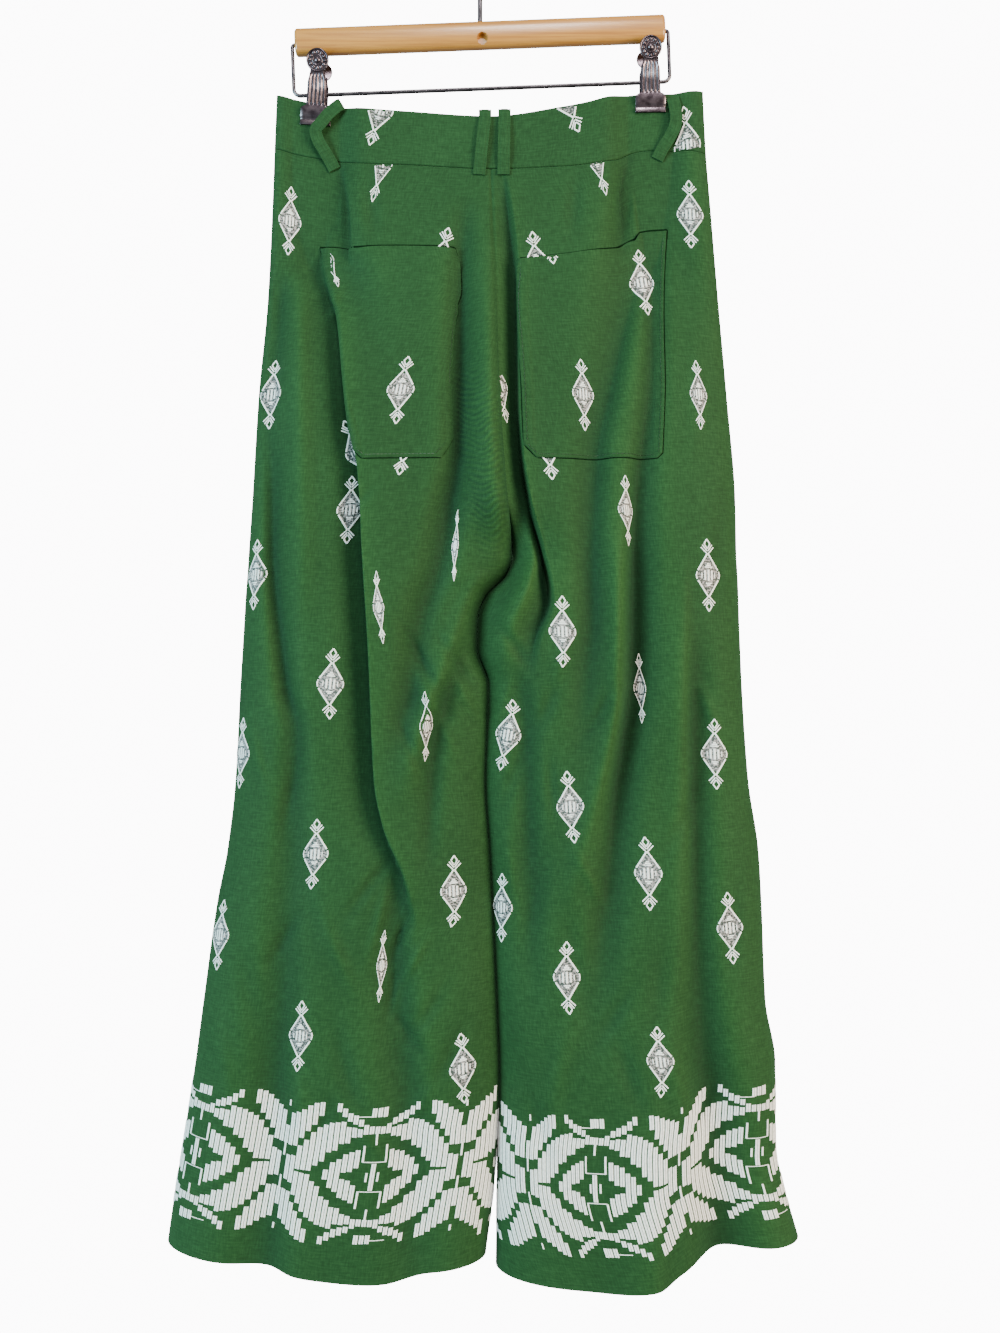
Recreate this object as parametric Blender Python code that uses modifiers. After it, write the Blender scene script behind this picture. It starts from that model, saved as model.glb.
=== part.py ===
"""Wide-legged culottes, seen from behind, hanging by two clips from a wooden hanger.

Metres, +Z up. The origin is the inside of the hook's crown, where the hanger hangs. The
garment's back faces -Y, and "left" is -X. The cloth is a wall of one thickness: its outer
face is worked out from an outline, a depth at each height and a table of folds, and its
inner face is the same surface moved in.
"""

import math

import bmesh
import bpy
import numpy as np
from mathutils import Matrix, Vector

# Cloth
cloth = 0.0016              # wall of one layer
seam = 0.0003               # gap between two pieces at a seam
half_seam = seam / 2
edge_radius = 0.003         # over which the wall rounds in to a side seam
band_height = -0.133        # nominal height of the band's top edge
waist_height = -0.190       # nominal height of the waist seam
pocket_foot = -0.472
crotch_start = -0.510       # where the centre seams turn in towards the crotch
crotch_height = -0.562      # where the two legs part
inseam_columns = -0.655     # by here the panels' columns crowd towards the inseam too
hem_height = -1.186         # nominal height of the hem
sag_fade, drop_fade = 0.26, 0.34    # how far the sag of the waist and the drop of the hem reach
torso_power, leg_power = 5, 3       # how squarely a section of the body or of a leg rounds
clip_press_width, clip_press_fade = 0.032, 0.240

# Pockets, fly and belt loops lie on the panels
patch_gap, patch_cloth = 0.0004, 0.0013
loop_cloth, loop_width = 0.0012, 0.0106
loop_rise = 0.0085          # above the band's top edge
loop_tail = 0.0090          # below it again, behind the band
loop_foot = 0.0065          # below the waist seam

# Button
button_radius, button_thick, button_gap = 0.0085, 0.0028, 0.0006
button_hole, button_hole_apart, button_rim = 0.0008, 0.0040, 0.0005

# Hanger
hanger_tilt = math.radians(2.2)
bar_length, bar_tall, bar_deep, bar_round = 0.340, 0.024, 0.016, 0.0025
bar_height = -0.0824        # of its centre line
wire_radius = 0.00175
wire_drop = 0.0487          # bar's centre line to the lower wire
wire_start = -0.0020        # where the wire leaves the bar's end, from its centre line
wire_clear = 0.0012         # between the wire's leg and the bar's end
wire_corner, wire_bend = 0.006, 0.0024
hook_radius = 0.0022
crook_radius = 0.016        # inside the crook
crook_start, crook_end = -50, 220   # degrees round from the side the stem swings to
stem_bend = 0.0065

# Clips
clip_at = (-0.1494, 0.1561)
clip_lean = (math.radians(3.5), math.radians(-1.0))
clip_pivot = 0.029          # the wire's height above the foot of the jaw
clip_plate = 0.0010
clip_head_height, clip_head_radius, clip_head_splay = 0.0557, 0.0103, 0.20
spring_radius, spring_length = 0.0047, 0.013


class Table:
    """Rows of numbers with named columns, read smoothly by the first column."""

    def __init__(self, columns, rows):
        self.columns = columns
        self.rows = np.array(sorted(rows), float)

    def __getitem__(self, name):
        return self.rows[:, self.columns.index(name)]

    def at(self, value, name):
        """The named column where the first column is value."""
        return smooth_curve(self.rows[:, 0], self[name], value)


def smooth_curve(keys, values, at):
    """A curve through the given points that never overshoots them."""
    steps = np.diff(keys)
    slopes = np.diff(values) / steps
    same_way = slopes[:-1] * slopes[1:] > 0
    total = np.where(same_way, slopes[:-1] + slopes[1:], 1.0)
    inside = np.where(same_way, 2 * slopes[:-1] * slopes[1:] / total, 0.0)
    tangents = np.concatenate([slopes[:1], inside, slopes[-1:]])
    at = np.clip(at, keys[0], keys[-1])
    i = np.clip(np.searchsorted(keys, at, side="right") - 1, 0, len(steps) - 1)
    t = (at - keys[i]) / steps[i]
    rise = values[i + 1] - values[i]
    start, end = tangents[i] * steps[i], tangents[i + 1] * steps[i]
    return values[i] + t * (start + t * (3 * rise - 2 * start - end + t * (start + end - 2 * rise)))


def ease(low, high, value):
    """0 at low and before it, 1 at high and after it, level at both."""
    share = np.clip((value - low) / (high - low), 0, 1)
    return share * share * (3 - 2 * share)


# The outline: the x of the side seams and of the middle, half the gap between the legs,
# and how far the back and the front stand out from the plane of the side seams.
outline = Table(
    ("z", "left", "middle", "right", "half_gap", "back", "front"),
    (
        (-0.133, -0.1870, 0.0090, 0.2050, half_seam, 0.012, 0.010),
        (-0.190, -0.1890, 0.0100, 0.2080, half_seam, 0.015, 0.012),
        (-0.233, -0.1905, 0.0115, 0.2115, half_seam, 0.019, 0.015),
        (-0.325, -0.1950, 0.0155, 0.2190, half_seam, 0.027, 0.020),
        (-0.417, -0.2035, 0.0185, 0.2270, half_seam, 0.034, 0.025),
        (-0.509, -0.2090, 0.0250, 0.2345, half_seam, 0.039, 0.029),
        (-0.562, -0.2125, 0.0300, 0.2355, half_seam, 0.041, 0.031),
        (-0.578, -0.2135, 0.0248, 0.2365, 0.0006, 0.041, 0.031),
        (-0.598, -0.2150, 0.0055, 0.2374, 0.0010, 0.041, 0.031),
        (-0.620, -0.2163, -0.0020, 0.2380, 0.0012, 0.041, 0.031),
        (-0.645, -0.2178, -0.0025, 0.2390, 0.0012, 0.041, 0.031),
        (-0.680, -0.2200, 0.0080, 0.2405, 0.0013, 0.040, 0.031),
        (-0.767, -0.2245, 0.0050, 0.2465, 0.0015, 0.039, 0.030),
        (-0.831, -0.2320, 0.0090, 0.2558, 0.0018, 0.039, 0.030),
        (-0.877, -0.2410, 0.0115, 0.2585, 0.0020, 0.040, 0.031),
        (-0.969, -0.2540, 0.0160, 0.2622, 0.0024, 0.042, 0.032),
        (-1.025, -0.2615, 0.0180, 0.2712, 0.0030, 0.043, 0.033),
        (-1.102, -0.2735, 0.0150, 0.2716, 0.0040, 0.045, 0.035),
        (-1.139, -0.2795, 0.0130, 0.2788, 0.0045, 0.046, 0.036),
        (-1.186, -0.2862, 0.0100, 0.2920, 0.0055, 0.047, 0.037),
    ),
)

# The band sags between the clips and beyond them.
waist = Table(
    ("x", "top", "seam"),
    (
        (-0.188, -0.1376, -0.1855),
        (-0.161, -0.1441, -0.1905),
        (-0.106, -0.1468, -0.1993),
        (0.010, -0.1560, -0.2039),
        (0.095, -0.1438, -0.1985),
        (0.126, -0.1370, -0.1945),
        (0.152, -0.1335, -0.1864),
        (0.208, -0.1330, -0.1897),
    ),
)

# The hem, lower where the cloth hangs full than at its sides.
hem = Table(
    ("x", "z"),
    (
        (-0.286, -1.1864),
        (-0.214, -1.1930),
        (-0.183, -1.1945),
        (-0.165, -1.2018),
        (-0.085, -1.2077),
        (-0.045, -1.2024),
        (0.005, -1.2002),
        (0.015, -1.2104),
        (0.112, -1.2129),
        (0.159, -1.2086),
        (0.178, -1.1994),
        (0.223, -1.1855),
        (0.292, -1.1837),
    ),
)

# Each fold runs down the cloth. rise is how far it stands out, or in where negative, and
# the cloth falls away from it within left and right of its line.
fold_columns = ("z", "x", "rise", "left", "right")
back_folds = {
    "trough_below_left_clip": (
        (-0.150, -0.149, 0.000, 0.016, 0.016),
        (-0.200, -0.150, -0.006, 0.016, 0.016),
        (-0.300, -0.155, -0.010, 0.016, 0.014),
        (-0.420, -0.152, -0.013, 0.018, 0.014),
        (-0.500, -0.140, -0.013, 0.022, 0.014),
        (-0.600, -0.128, -0.011, 0.025, 0.015),
        (-0.750, -0.118, -0.008, 0.025, 0.016),
        (-0.880, -0.105, 0.000, 0.020, 0.016),
    ),
    "ridge_left_pocket": (
        (-0.260, -0.135, 0.000, 0.010, 0.030),
        (-0.300, -0.128, 0.004, 0.010, 0.030),
        (-0.400, -0.110, 0.008, 0.009, 0.034),
        (-0.500, -0.098, 0.010, 0.009, 0.038),
        (-0.600, -0.094, 0.010, 0.010, 0.036),
        (-0.750, -0.088, 0.009, 0.011, 0.032),
        (-0.860, -0.060, 0.007, 0.013, 0.028),
        (-0.940, -0.050, 0.000, 0.014, 0.024),
    ),
    "trough_left_of_seat_seam": (
        (-0.230, -0.012, 0.000, 0.010, 0.010),
        (-0.320, -0.014, -0.006, 0.011, 0.010),
        (-0.420, -0.018, -0.009, 0.012, 0.011),
        (-0.490, -0.024, -0.009, 0.014, 0.012),
        (-0.560, -0.042, -0.006, 0.016, 0.014),
        (-0.640, -0.058, 0.000, 0.016, 0.014),
    ),
    "ridge_along_seat_seam": (
        (-0.220, 0.004, 0.000, 0.010, 0.009),
        (-0.330, 0.005, 0.005, 0.011, 0.009),
        (-0.430, 0.006, 0.007, 0.013, 0.010),
        (-0.500, 0.008, 0.008, 0.016, 0.010),
        (-0.575, 0.012, 0.000, 0.016, 0.010),
    ),
    "trough_right_of_seat_seam": (
        (-0.200, 0.018, 0.000, 0.008, 0.010),
        (-0.240, 0.020, -0.005, 0.008, 0.010),
        (-0.325, 0.024, -0.010, 0.009, 0.010),
        (-0.400, 0.036, -0.013, 0.010, 0.011),
        (-0.470, 0.044, -0.014, 0.011, 0.011),
        (-0.540, 0.058, -0.015, 0.010, 0.011),
        (-0.580, 0.064, -0.011, 0.012, 0.012),
        (-0.640, 0.052, 0.000, 0.014, 0.014),
    ),
    "ridge_beside_crotch": (
        (-0.510, 0.036, 0.000, 0.008, 0.008),
        (-0.550, 0.044, 0.008, 0.008, 0.008),
        (-0.580, 0.046, 0.010, 0.010, 0.009),
        (-0.620, 0.034, 0.006, 0.014, 0.012),
        (-0.680, 0.026, 0.000, 0.014, 0.014),
    ),
    "trough_across_right_pocket": (
        (-0.290, 0.142, 0.000, 0.012, 0.010),
        (-0.340, 0.133, -0.006, 0.012, 0.010),
        (-0.420, 0.116, -0.009, 0.013, 0.011),
        (-0.490, 0.100, -0.009, 0.014, 0.012),
        (-0.570, 0.088, -0.006, 0.016, 0.014),
        (-0.660, 0.080, 0.000, 0.016, 0.014),
    ),
    "trough_below_right_clip": (
        (-0.150, 0.157, 0.000, 0.014, 0.012),
        (-0.200, 0.158, -0.007, 0.014, 0.012),
        (-0.300, 0.160, -0.009, 0.012, 0.012),
        (-0.420, 0.158, -0.010, 0.012, 0.012),
        (-0.550, 0.146, -0.011, 0.015, 0.010),
        (-0.720, 0.142, -0.013, 0.018, 0.010),
        (-0.767, 0.134, -0.013, 0.019, 0.010),
        (-0.845, 0.111, -0.011, 0.020, 0.012),
        (-0.930, 0.098, -0.008, 0.020, 0.016),
        (-1.010, 0.092, 0.000, 0.020, 0.018),
    ),
    "trough_down_right_leg": (
        (-0.620, 0.197, 0.000, 0.012, 0.014),
        (-0.700, 0.194, -0.007, 0.012, 0.015),
        (-0.850, 0.193, -0.010, 0.015, 0.018),
        (-1.000, 0.201, -0.014, 0.020, 0.022),
        (-1.100, 0.212, -0.021, 0.024, 0.034),
        (-1.210, 0.216, -0.030, 0.028, 0.044),
    ),
    "ridge_at_right_hem": (
        (-0.940, 0.148, 0.000, 0.030, 0.018),
        (-1.100, 0.152, 0.006, 0.034, 0.018),
        (-1.210, 0.152, 0.010, 0.040, 0.018),
    ),
    "trough_at_left_knee": (
        (-0.800, -0.092, 0.000, 0.009, 0.010),
        (-0.860, -0.086, -0.004, 0.009, 0.010),
        (-0.930, -0.074, -0.007, 0.014, 0.014),
        (-1.050, -0.062, -0.008, 0.020, 0.020),
        (-1.210, -0.055, -0.006, 0.028, 0.028),
    ),
    "trough_down_left_side": (
        (-0.540, -0.196, 0.000, 0.010, 0.009),
        (-0.620, -0.190, -0.004, 0.011, 0.009),
        (-0.690, -0.174, -0.006, 0.012, 0.011),
        (-0.800, -0.170, -0.007, 0.016, 0.015),
        (-1.000, -0.180, -0.011, 0.024, 0.020),
        (-1.210, -0.192, -0.015, 0.034, 0.022),
    ),
}
front_folds = {
    "trough_below_left_clip": (
        (-0.150, -0.149, 0.000, 0.016, 0.016),
        (-0.210, -0.150, -0.005, 0.016, 0.016),
        (-0.400, -0.146, -0.010, 0.020, 0.018),
        (-0.620, -0.134, -0.011, 0.024, 0.018),
        (-0.900, -0.150, -0.007, 0.026, 0.022),
        (-1.210, -0.178, -0.012, 0.034, 0.030),
    ),
    "trough_below_right_clip": (
        (-0.150, 0.157, 0.000, 0.014, 0.014),
        (-0.210, 0.158, -0.005, 0.014, 0.014),
        (-0.380, 0.160, -0.009, 0.018, 0.018),
        (-0.640, 0.150, -0.012, 0.020, 0.024),
        (-0.930, 0.166, -0.008, 0.024, 0.026),
        (-1.210, 0.192, -0.014, 0.032, 0.036),
    ),
    "trough_left_of_fly": (
        (-0.330, -0.030, 0.000, 0.014, 0.014),
        (-0.450, -0.034, -0.006, 0.016, 0.014),
        (-0.580, -0.052, -0.010, 0.020, 0.018),
        (-0.760, -0.070, -0.007, 0.022, 0.022),
        (-0.900, -0.078, 0.000, 0.022, 0.022),
    ),
    "trough_right_of_fly": (
        (-0.360, 0.072, 0.000, 0.014, 0.014),
        (-0.470, 0.074, -0.006, 0.016, 0.014),
        (-0.600, 0.082, -0.010, 0.018, 0.020),
        (-0.800, 0.086, -0.007, 0.022, 0.022),
        (-0.960, 0.084, 0.000, 0.022, 0.022),
    ),
    "trough_at_left_hem": (
        (-0.900, -0.062, 0.000, 0.020, 0.020),
        (-1.060, -0.058, -0.006, 0.024, 0.024),
        (-1.210, -0.066, -0.010, 0.030, 0.030),
    ),
    "trough_at_right_hem": (
        (-0.940, 0.078, 0.000, 0.020, 0.020),
        (-1.080, 0.084, -0.007, 0.024, 0.024),
        (-1.210, 0.090, -0.010, 0.030, 0.030),
    ),
}
folds = {
    -1: [Table(fold_columns, rows) for rows in back_folds.values()],
    1: [Table(fold_columns, rows) for rows in front_folds.values()],
}

# Heights of the panels' rows. The finer ones follow the crotch and the pockets' edges.
back_rows = (
    -0.190, -0.210, -0.240, -0.2775, -0.310, -0.340, -0.370, -0.400, -0.435, -0.472, -0.500,
    -0.520, -0.542, -0.562, -0.580, -0.600, -0.625, -0.655, -0.690, -0.730, -0.770, -0.810,
    -0.850, -0.890, -0.930, -0.970, -1.010, -1.055, -1.100, -1.145, -1.186,
)
front_rows = (
    -0.190, -0.225, -0.270, -0.320, -0.370, -0.420, -0.470, -0.510, -0.540, -0.562, -0.580,
    -0.600, -0.625, -0.660, -0.710, -0.770, -0.840, -0.910, -0.980, -1.050, -1.120, -1.186,
)
back_columns, front_columns = 30, 18
band_rows = 3


# Up an upright belt loop from its foot to the band's edge, and how far it stands off.
upright_loop_stations = (
    (0.00, 0.0012), (0.10, 0.0014), (0.25, 0.0026), (0.50, 0.0030), (0.75, 0.0026), (0.97, 0.0020),
)
# x, z and how far each side loop stands off the cloth, from its foot up.
left_loop_stations = (
    (-0.1363, -0.2045, 0.0012),
    (-0.1385, -0.1975, 0.0022),
    (-0.1430, -0.1860, 0.0040),
    (-0.1472, -0.1750, 0.0052),
    (-0.1486, -0.1665, 0.0056),
    (-0.1452, -0.1600, 0.0060),
    (-0.1390, -0.1545, 0.0060),
    (-0.1325, -0.1505, 0.0050),
    (-0.1270, -0.1476, 0.0022),
)
right_loop_stations = (
    (0.1656, -0.1955, 0.0014),
    (0.1690, -0.1860, 0.0026),
    (0.1745, -0.1720, 0.0034),
    (0.1790, -0.1600, 0.0036),
    (0.1800, -0.1520, 0.0034),
    (0.1785, -0.1440, 0.0024),
    (0.1765, -0.1370, 0.0014),
)
# Rise from the foot of the jaw, half width, and distance from the clip's middle.
clip_body = (
    (0.000, 0.0137, 0.0026),
    (0.005, 0.0137, 0.0026),
    (0.008, 0.0137, 0.0042),
    (0.014, 0.0137, 0.0052),
    (0.018, 0.0092, 0.0054),
    (0.029, 0.0090, 0.0057),
    (0.038, 0.0086, 0.0073),
    (0.044, 0.0070, 0.0086),
)


def fold_rise(face, x, height):
    """How far the folds of this face stand out at a point."""
    total = np.zeros_like(x)
    for fold in folds[face]:
        line = fold.at(height, "x")
        inside = (height <= fold["z"][-1]) & (height >= fold["z"][0])
        rise = np.where(inside, fold.at(height, "rise"), 0.0)
        reach = np.where(x < line, fold.at(height, "left"), fold.at(height, "right"))
        total += rise * np.exp(-(((x - line) / reach) ** 2))
    return total


def clip_press(x, height):
    """1 where a clip holds back and front together, fading below it and to its sides."""
    pressed = np.zeros_like(x)
    for at in clip_at:
        width = clip_press_width * (1 + ease(waist_height, waist_height - clip_press_fade, height))
        below = 1 - ease(waist_height + cloth, waist_height - clip_press_fade, height)
        pressed = np.maximum(pressed, below * np.exp(-(((x - at) / width) ** 4)))
    return pressed


def cloth_face(side, face, across, height):
    """Points of the outer face, before the sag of waist and hem.

    side is -1 on the left and 1 on the right, face -1 on the back and 1 on the front.
    across runs from 0 at the centre seam or inseam to 1 at the side seam.
    """
    middle, half_gap = outline.at(height, "middle"), outline.at(height, "half_gap")
    inner = middle + side * half_gap
    outer = outline.at(height, "left" if side < 0 else "right")
    leg = ease(crotch_start, crotch_height, height)
    torso_share = np.sin(across * math.pi / 2)
    leg_share = (1 - np.cos(across * math.pi)) / 2
    share = torso_share + (leg_share - torso_share) * ease(pocket_foot, inseam_columns, height)
    x = inner + (outer - inner) * share
    torso_round = np.sqrt(np.clip(1 - share**torso_power, 0, 1))
    leg_round = np.sqrt(np.clip(1 - np.abs(2 * share - 1) ** leg_power, 0, 1))
    full = torso_round + (leg_round - torso_round) * leg
    depth = outline.at(height, "back" if face < 0 else "front")
    out = depth * full * (1 - clip_press(x, height)) + fold_rise(face, x, height) * ease(0, 0.5, full)
    from_edge = np.minimum(np.abs(outer - x), np.where(leg > 0, np.abs(x - inner), 1.0))
    near_edge = np.clip(1 - from_edge / edge_radius, 0, 1)
    least = cloth * np.sqrt(1 - near_edge**2)
    return np.stack([x, face * (half_seam + np.maximum(out, least)), height], axis=-1)


def seam_sag(x):
    return waist.at(x, "seam") - waist_height


def panel_face(side, face, across, heights):
    """The outer face of a leg panel, as rows of points from the waist to the hem."""
    grid_across, grid_height = np.meshgrid(across, heights)
    points = cloth_face(side, face, grid_across, grid_height)
    top = 1 - ease(waist_height, waist_height - sag_fade, grid_height)
    low = ease(hem_height + drop_fade, hem_height, grid_height)
    x = points[..., 0]
    points[..., 2] += (seam_sag(x) - half_seam) * top + (hem.at(x, "z") - hem_height) * low
    return points


def band_face(face, lines, rows):
    """The outer face of the waistband, from its top edge to the waist seam."""
    halves = []
    for side in (-1, 1):
        across = lines[::-1] if side < 0 else lines[1:]
        grid_across, grid_row = np.meshgrid(across, np.linspace(0, 1, rows + 1))
        nominal = band_height + (waist_height - band_height) * grid_row
        points = cloth_face(side, face, grid_across, nominal)
        x = points[..., 0]
        top, low = waist.at(x, "top"), waist.at(x, "seam") + half_seam
        points[..., 2] = top + (low - top) * grid_row
        halves.append(points)
    return np.concatenate(halves, axis=1)


def outward(points, way):
    """Level normals of a face, row by row. way is 1 or -1 so that they point out."""
    along = np.gradient(points[..., :2], axis=1)
    normal = np.stack([-along[..., 1], along[..., 0]], axis=-1) * way
    normal /= np.linalg.norm(normal, axis=-1, keepdims=True)
    return np.concatenate([normal, np.zeros_like(points[..., :1])], axis=-1)


def wall_behind(points, normals, thickness, face, side=0):
    """The face moved in by the thickness, kept on its own side of every seam."""
    inner = points - normals * thickness
    inner[..., 1] = face * np.maximum(face * inner[..., 1], half_seam)
    if side:
        edge = points[:, :1, 0]
        inner[..., 0] = side * np.maximum(side * inner[..., 0], side * edge)
        inner[..., 0] = side * np.maximum.accumulate(side * inner[..., 0], axis=1)
    return inner


# Blender objects
def clear_scene():
    for obj in list(bpy.data.objects):
        bpy.data.objects.remove(obj)


def make_material(name, colour, roughness, metallic=0.0):
    material = bpy.data.materials.new(name)
    material.use_nodes = True
    shader = material.node_tree.nodes["Principled BSDF"]
    shader.inputs["Base Color"].default_value = (*colour, 1)
    shader.inputs["Roughness"].default_value = roughness
    shader.inputs["Metallic"].default_value = metallic
    return material


def add(obj, material, smooth=True):
    """Puts a finished object in the model's collection, with its material."""
    for holder in list(obj.users_collection):
        holder.objects.unlink(obj)
    model.objects.link(obj)
    obj.data.materials.clear()
    obj.data.materials.append(material)
    if smooth and obj.type == "MESH":
        obj.data.shade_smooth()
        obj.data.set_sharp_from_angle(angle=math.radians(40))
    return obj


def closed_wall(name, outer, inner, material):
    """A closed piece between two grids of points of the same size, one behind the other.

    Every cell is split along the same diagonal, so that pieces made from the same points
    stay parallel.
    """
    rows, columns = outer.shape[:2]
    count = rows * columns
    points = np.concatenate([outer.reshape(-1, 3), inner.reshape(-1, 3)])
    at = lambda row, column, back=0: back * count + row * columns + column
    faces = []
    for row in range(rows - 1):
        for column in range(columns - 1):
            first, across = (row, column), (row + 1, column + 1)
            for third in ((row + 1, column), (row, column + 1)):
                faces.append([at(*corner) for corner in (first, third, across)])
                faces.append([at(*corner, 1) for corner in (first, third, across)])
    ring = [(0, column) for column in range(columns - 1)]
    ring += [(row, columns - 1) for row in range(rows - 1)]
    ring += [(rows - 1, column) for column in range(columns - 1, 0, -1)]
    ring += [(row, 0) for row in range(rows - 1, 0, -1)]
    for start, end in zip(ring, ring[1:] + ring[:1]):
        faces.append([at(*start), at(*end), at(*end, 1), at(*start, 1)])
    mesh = bpy.data.meshes.new(name)
    mesh.from_pydata(points.tolist(), [], faces)
    face_outwards(mesh)
    return add(bpy.data.objects.new(name, mesh), material)


def face_outwards(mesh):
    """Turns every face of a closed mesh the right way out."""
    shape = bmesh.new()
    shape.from_mesh(mesh)
    bmesh.ops.recalc_face_normals(shape, faces=shape.faces)
    shape.to_mesh(mesh)
    shape.free()


def ribbon(name, line, width, thickness, material, facing=-1):
    """A strip of cloth along a line, flat towards -Y or +Y."""
    line = np.array(line, float)
    along = np.gradient(line, axis=0)
    across = np.stack([along[:, 2], np.zeros(len(line)), -along[:, 0]], axis=-1)
    level = np.linalg.norm(across, axis=-1, keepdims=True)
    upright = np.array([[1.0, 0.0, 0.0]])
    across = np.where(level > 1e-6, across / np.maximum(level, 1e-9), upright)
    across *= np.where(across[:, :1] < 0, -1, 1)
    normal = np.cross(along, across)
    normal /= np.linalg.norm(normal, axis=-1, keepdims=True)
    edges = [line + across * width * share for share in (-0.5, 0, 0.5)]
    outer = np.stack([edge + normal * thickness / 2 for edge in edges], axis=1)
    inner = np.stack([edge - normal * thickness / 2 for edge in edges], axis=1)
    return closed_wall(name, outer, inner, material)


def tube(name, points, radius, material, sides=2):
    """A round wire along a list of points."""
    curve = bpy.data.curves.new(name, "CURVE")
    curve.dimensions = "3D"
    spline = curve.splines.new("POLY")
    spline.points.add(len(points) - 1)
    for place, point in zip(spline.points, points):
        place.co = (*point, 1)
    curve.bevel_depth = radius
    curve.bevel_resolution = sides
    curve.use_fill_caps = True
    obj = bpy.data.objects.new(name, curve)
    return add(obj, material)


def rounded_corner(before, corner, after, radius, steps=4):
    """Points of an arc that rounds a corner between two straight runs."""
    before, corner, after = Vector(before), Vector(corner), Vector(after)
    start_way, end_way = (before - corner).normalized(), (after - corner).normalized()
    half = start_way.angle(end_way) / 2
    centre = corner + (start_way + end_way).normalized() * radius / math.sin(half)
    start = corner + start_way * radius / math.tan(half)
    end = corner + end_way * radius / math.tan(half)
    points = []
    for step in range(steps + 1):
        way = (start - centre).lerp(end - centre, step / steps).normalized()
        points.append(tuple(centre + way * radius))
    return points


# The garment
def build_panels():
    made = {}
    for face, word, columns, rows in ((-1, "back", back_columns, back_rows),
                                      (1, "front", front_columns, front_rows)):
        for side, where in ((-1, "left"), (1, "right")):
            across = np.linspace(0, 1, columns + 1)
            outer = panel_face(side, face, across, np.array(rows))
            normals = outward(outer, side * face)
            inner = wall_behind(outer, normals, cloth, face, side)
            name = f"{word}_{where}"
            closed_wall(name, outer, inner, linen)
            made[name] = (outer, normals)
    return made


def build_patch(name, panel, rows, columns, corner, lift=None):
    """A piece that repeats some of a panel's own points, moved out.

    corner cuts its two lower corners by that share of a cell. lift takes its top edge that
    share of a cell further up, at its first column and at its last.
    """
    outer, normals = panel
    above, top = rows[0] - 1, rows[0]
    rows = slice(rows[0], rows[1] + 1)
    columns = slice(columns[0], columns[1] + 1)
    points, out = outer[rows, columns].copy(), normals[rows, columns]
    for edge, inwards in ((0, 1), (-1, -2)):
        points[-1, edge] += (points[-2, inwards] - points[-1, edge]) * corner
    if lift:
        # The panel bends across the cell above, so the lifted edge stands off it a little more.
        share = np.linspace(*lift, points.shape[1])[:, None]
        upper = points[0] + (outer[above, columns] - outer[top, columns]) * share + out[0] * patch_gap
        points = np.concatenate([upper[None], points])
        out = np.concatenate([out[:1], out])
    lower = points + out * patch_gap
    return closed_wall(name, lower + out * patch_cloth, lower, linen)


def build_bands():
    """The bands have their panels' columns, so the two sides of the waist seam match."""
    back = band_face(-1, np.linspace(0, 1, back_columns + 1), band_rows)
    closed_wall("waistband_back", back, wall_behind(back, outward(back, -1), cloth, -1), linen)
    front = band_face(1, np.linspace(0, 1, front_columns + 1), band_rows)
    normals = outward(front, 1)
    behind = wall_behind(front, normals, cloth, 1)
    middle = front_columns
    left = slice(0, middle + 1)
    closed_wall("waistband_front_left", front[:, left], behind[:, left], linen)
    # The right half runs over the left one by a column, raised clear of it.
    right = slice(middle - 1, None)
    lift = np.zeros(front[:, right].shape[1])
    lift[:2] = cloth + 2 * seam
    raised = normals[:, right] * lift[None, :, None]
    tab, under = front[:, right] + raised, behind[:, right] + raised
    closed_wall("waistband_front_right", tab, under, linen)
    return back, front, tab


def reach_under(face, grids, x, z):
    """How far out the cloth lies across a loop's width at x and z, least and most."""
    reach = []
    for beside in (x - loop_width / 2, x, x + loop_width / 2):
        heights, depths = [], []
        for row in (row for grid in grids for row in grid):
            order = np.argsort(row[:, 0])
            heights.append(np.interp(beside, row[order, 0], row[order, 2]))
            depths.append(np.interp(beside, row[order, 0], face * row[order, 1]))
        order = np.argsort(heights)
        reach.append(np.interp(z, np.array(heights)[order], np.array(depths)[order]))
    return min(reach), max(reach)


def upright_loop(name, face, grids, x_low, x_high, top, foot):
    """A belt loop that stands off the band, folds over its top edge and ends behind it."""
    line = []
    for share, off in upright_loop_stations:
        x = x_low + (x_high - x_low) * share
        z = foot + (top - foot) * share
        least, most = reach_under(face, grids, x, z)
        line.append((x, face * (most + off), z))
    outside, inside = most + off, least - cloth - loop_cloth / 2 - patch_gap
    turn_radius = (outside - inside) / 2
    for angle in range(0, 181, 45):
        turn = math.radians(angle)
        out = inside + turn_radius * (1 + math.cos(turn))
        line.append((x, face * out, top + loop_rise - turn_radius * (1 - math.sin(turn))))
    line.append((x, face * inside, top - loop_tail))
    return ribbon(name, line, loop_width, loop_cloth, linen)


def side_loop(name, grids, stations):
    """A belt loop that a clip has pushed aside. Each station gives x, z and how far out."""
    line = [(x, -reach_under(-1, grids, x, z)[1] - off, z) for x, z, off in stations]
    return ribbon(name, line, loop_width, loop_cloth, linen)


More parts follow.
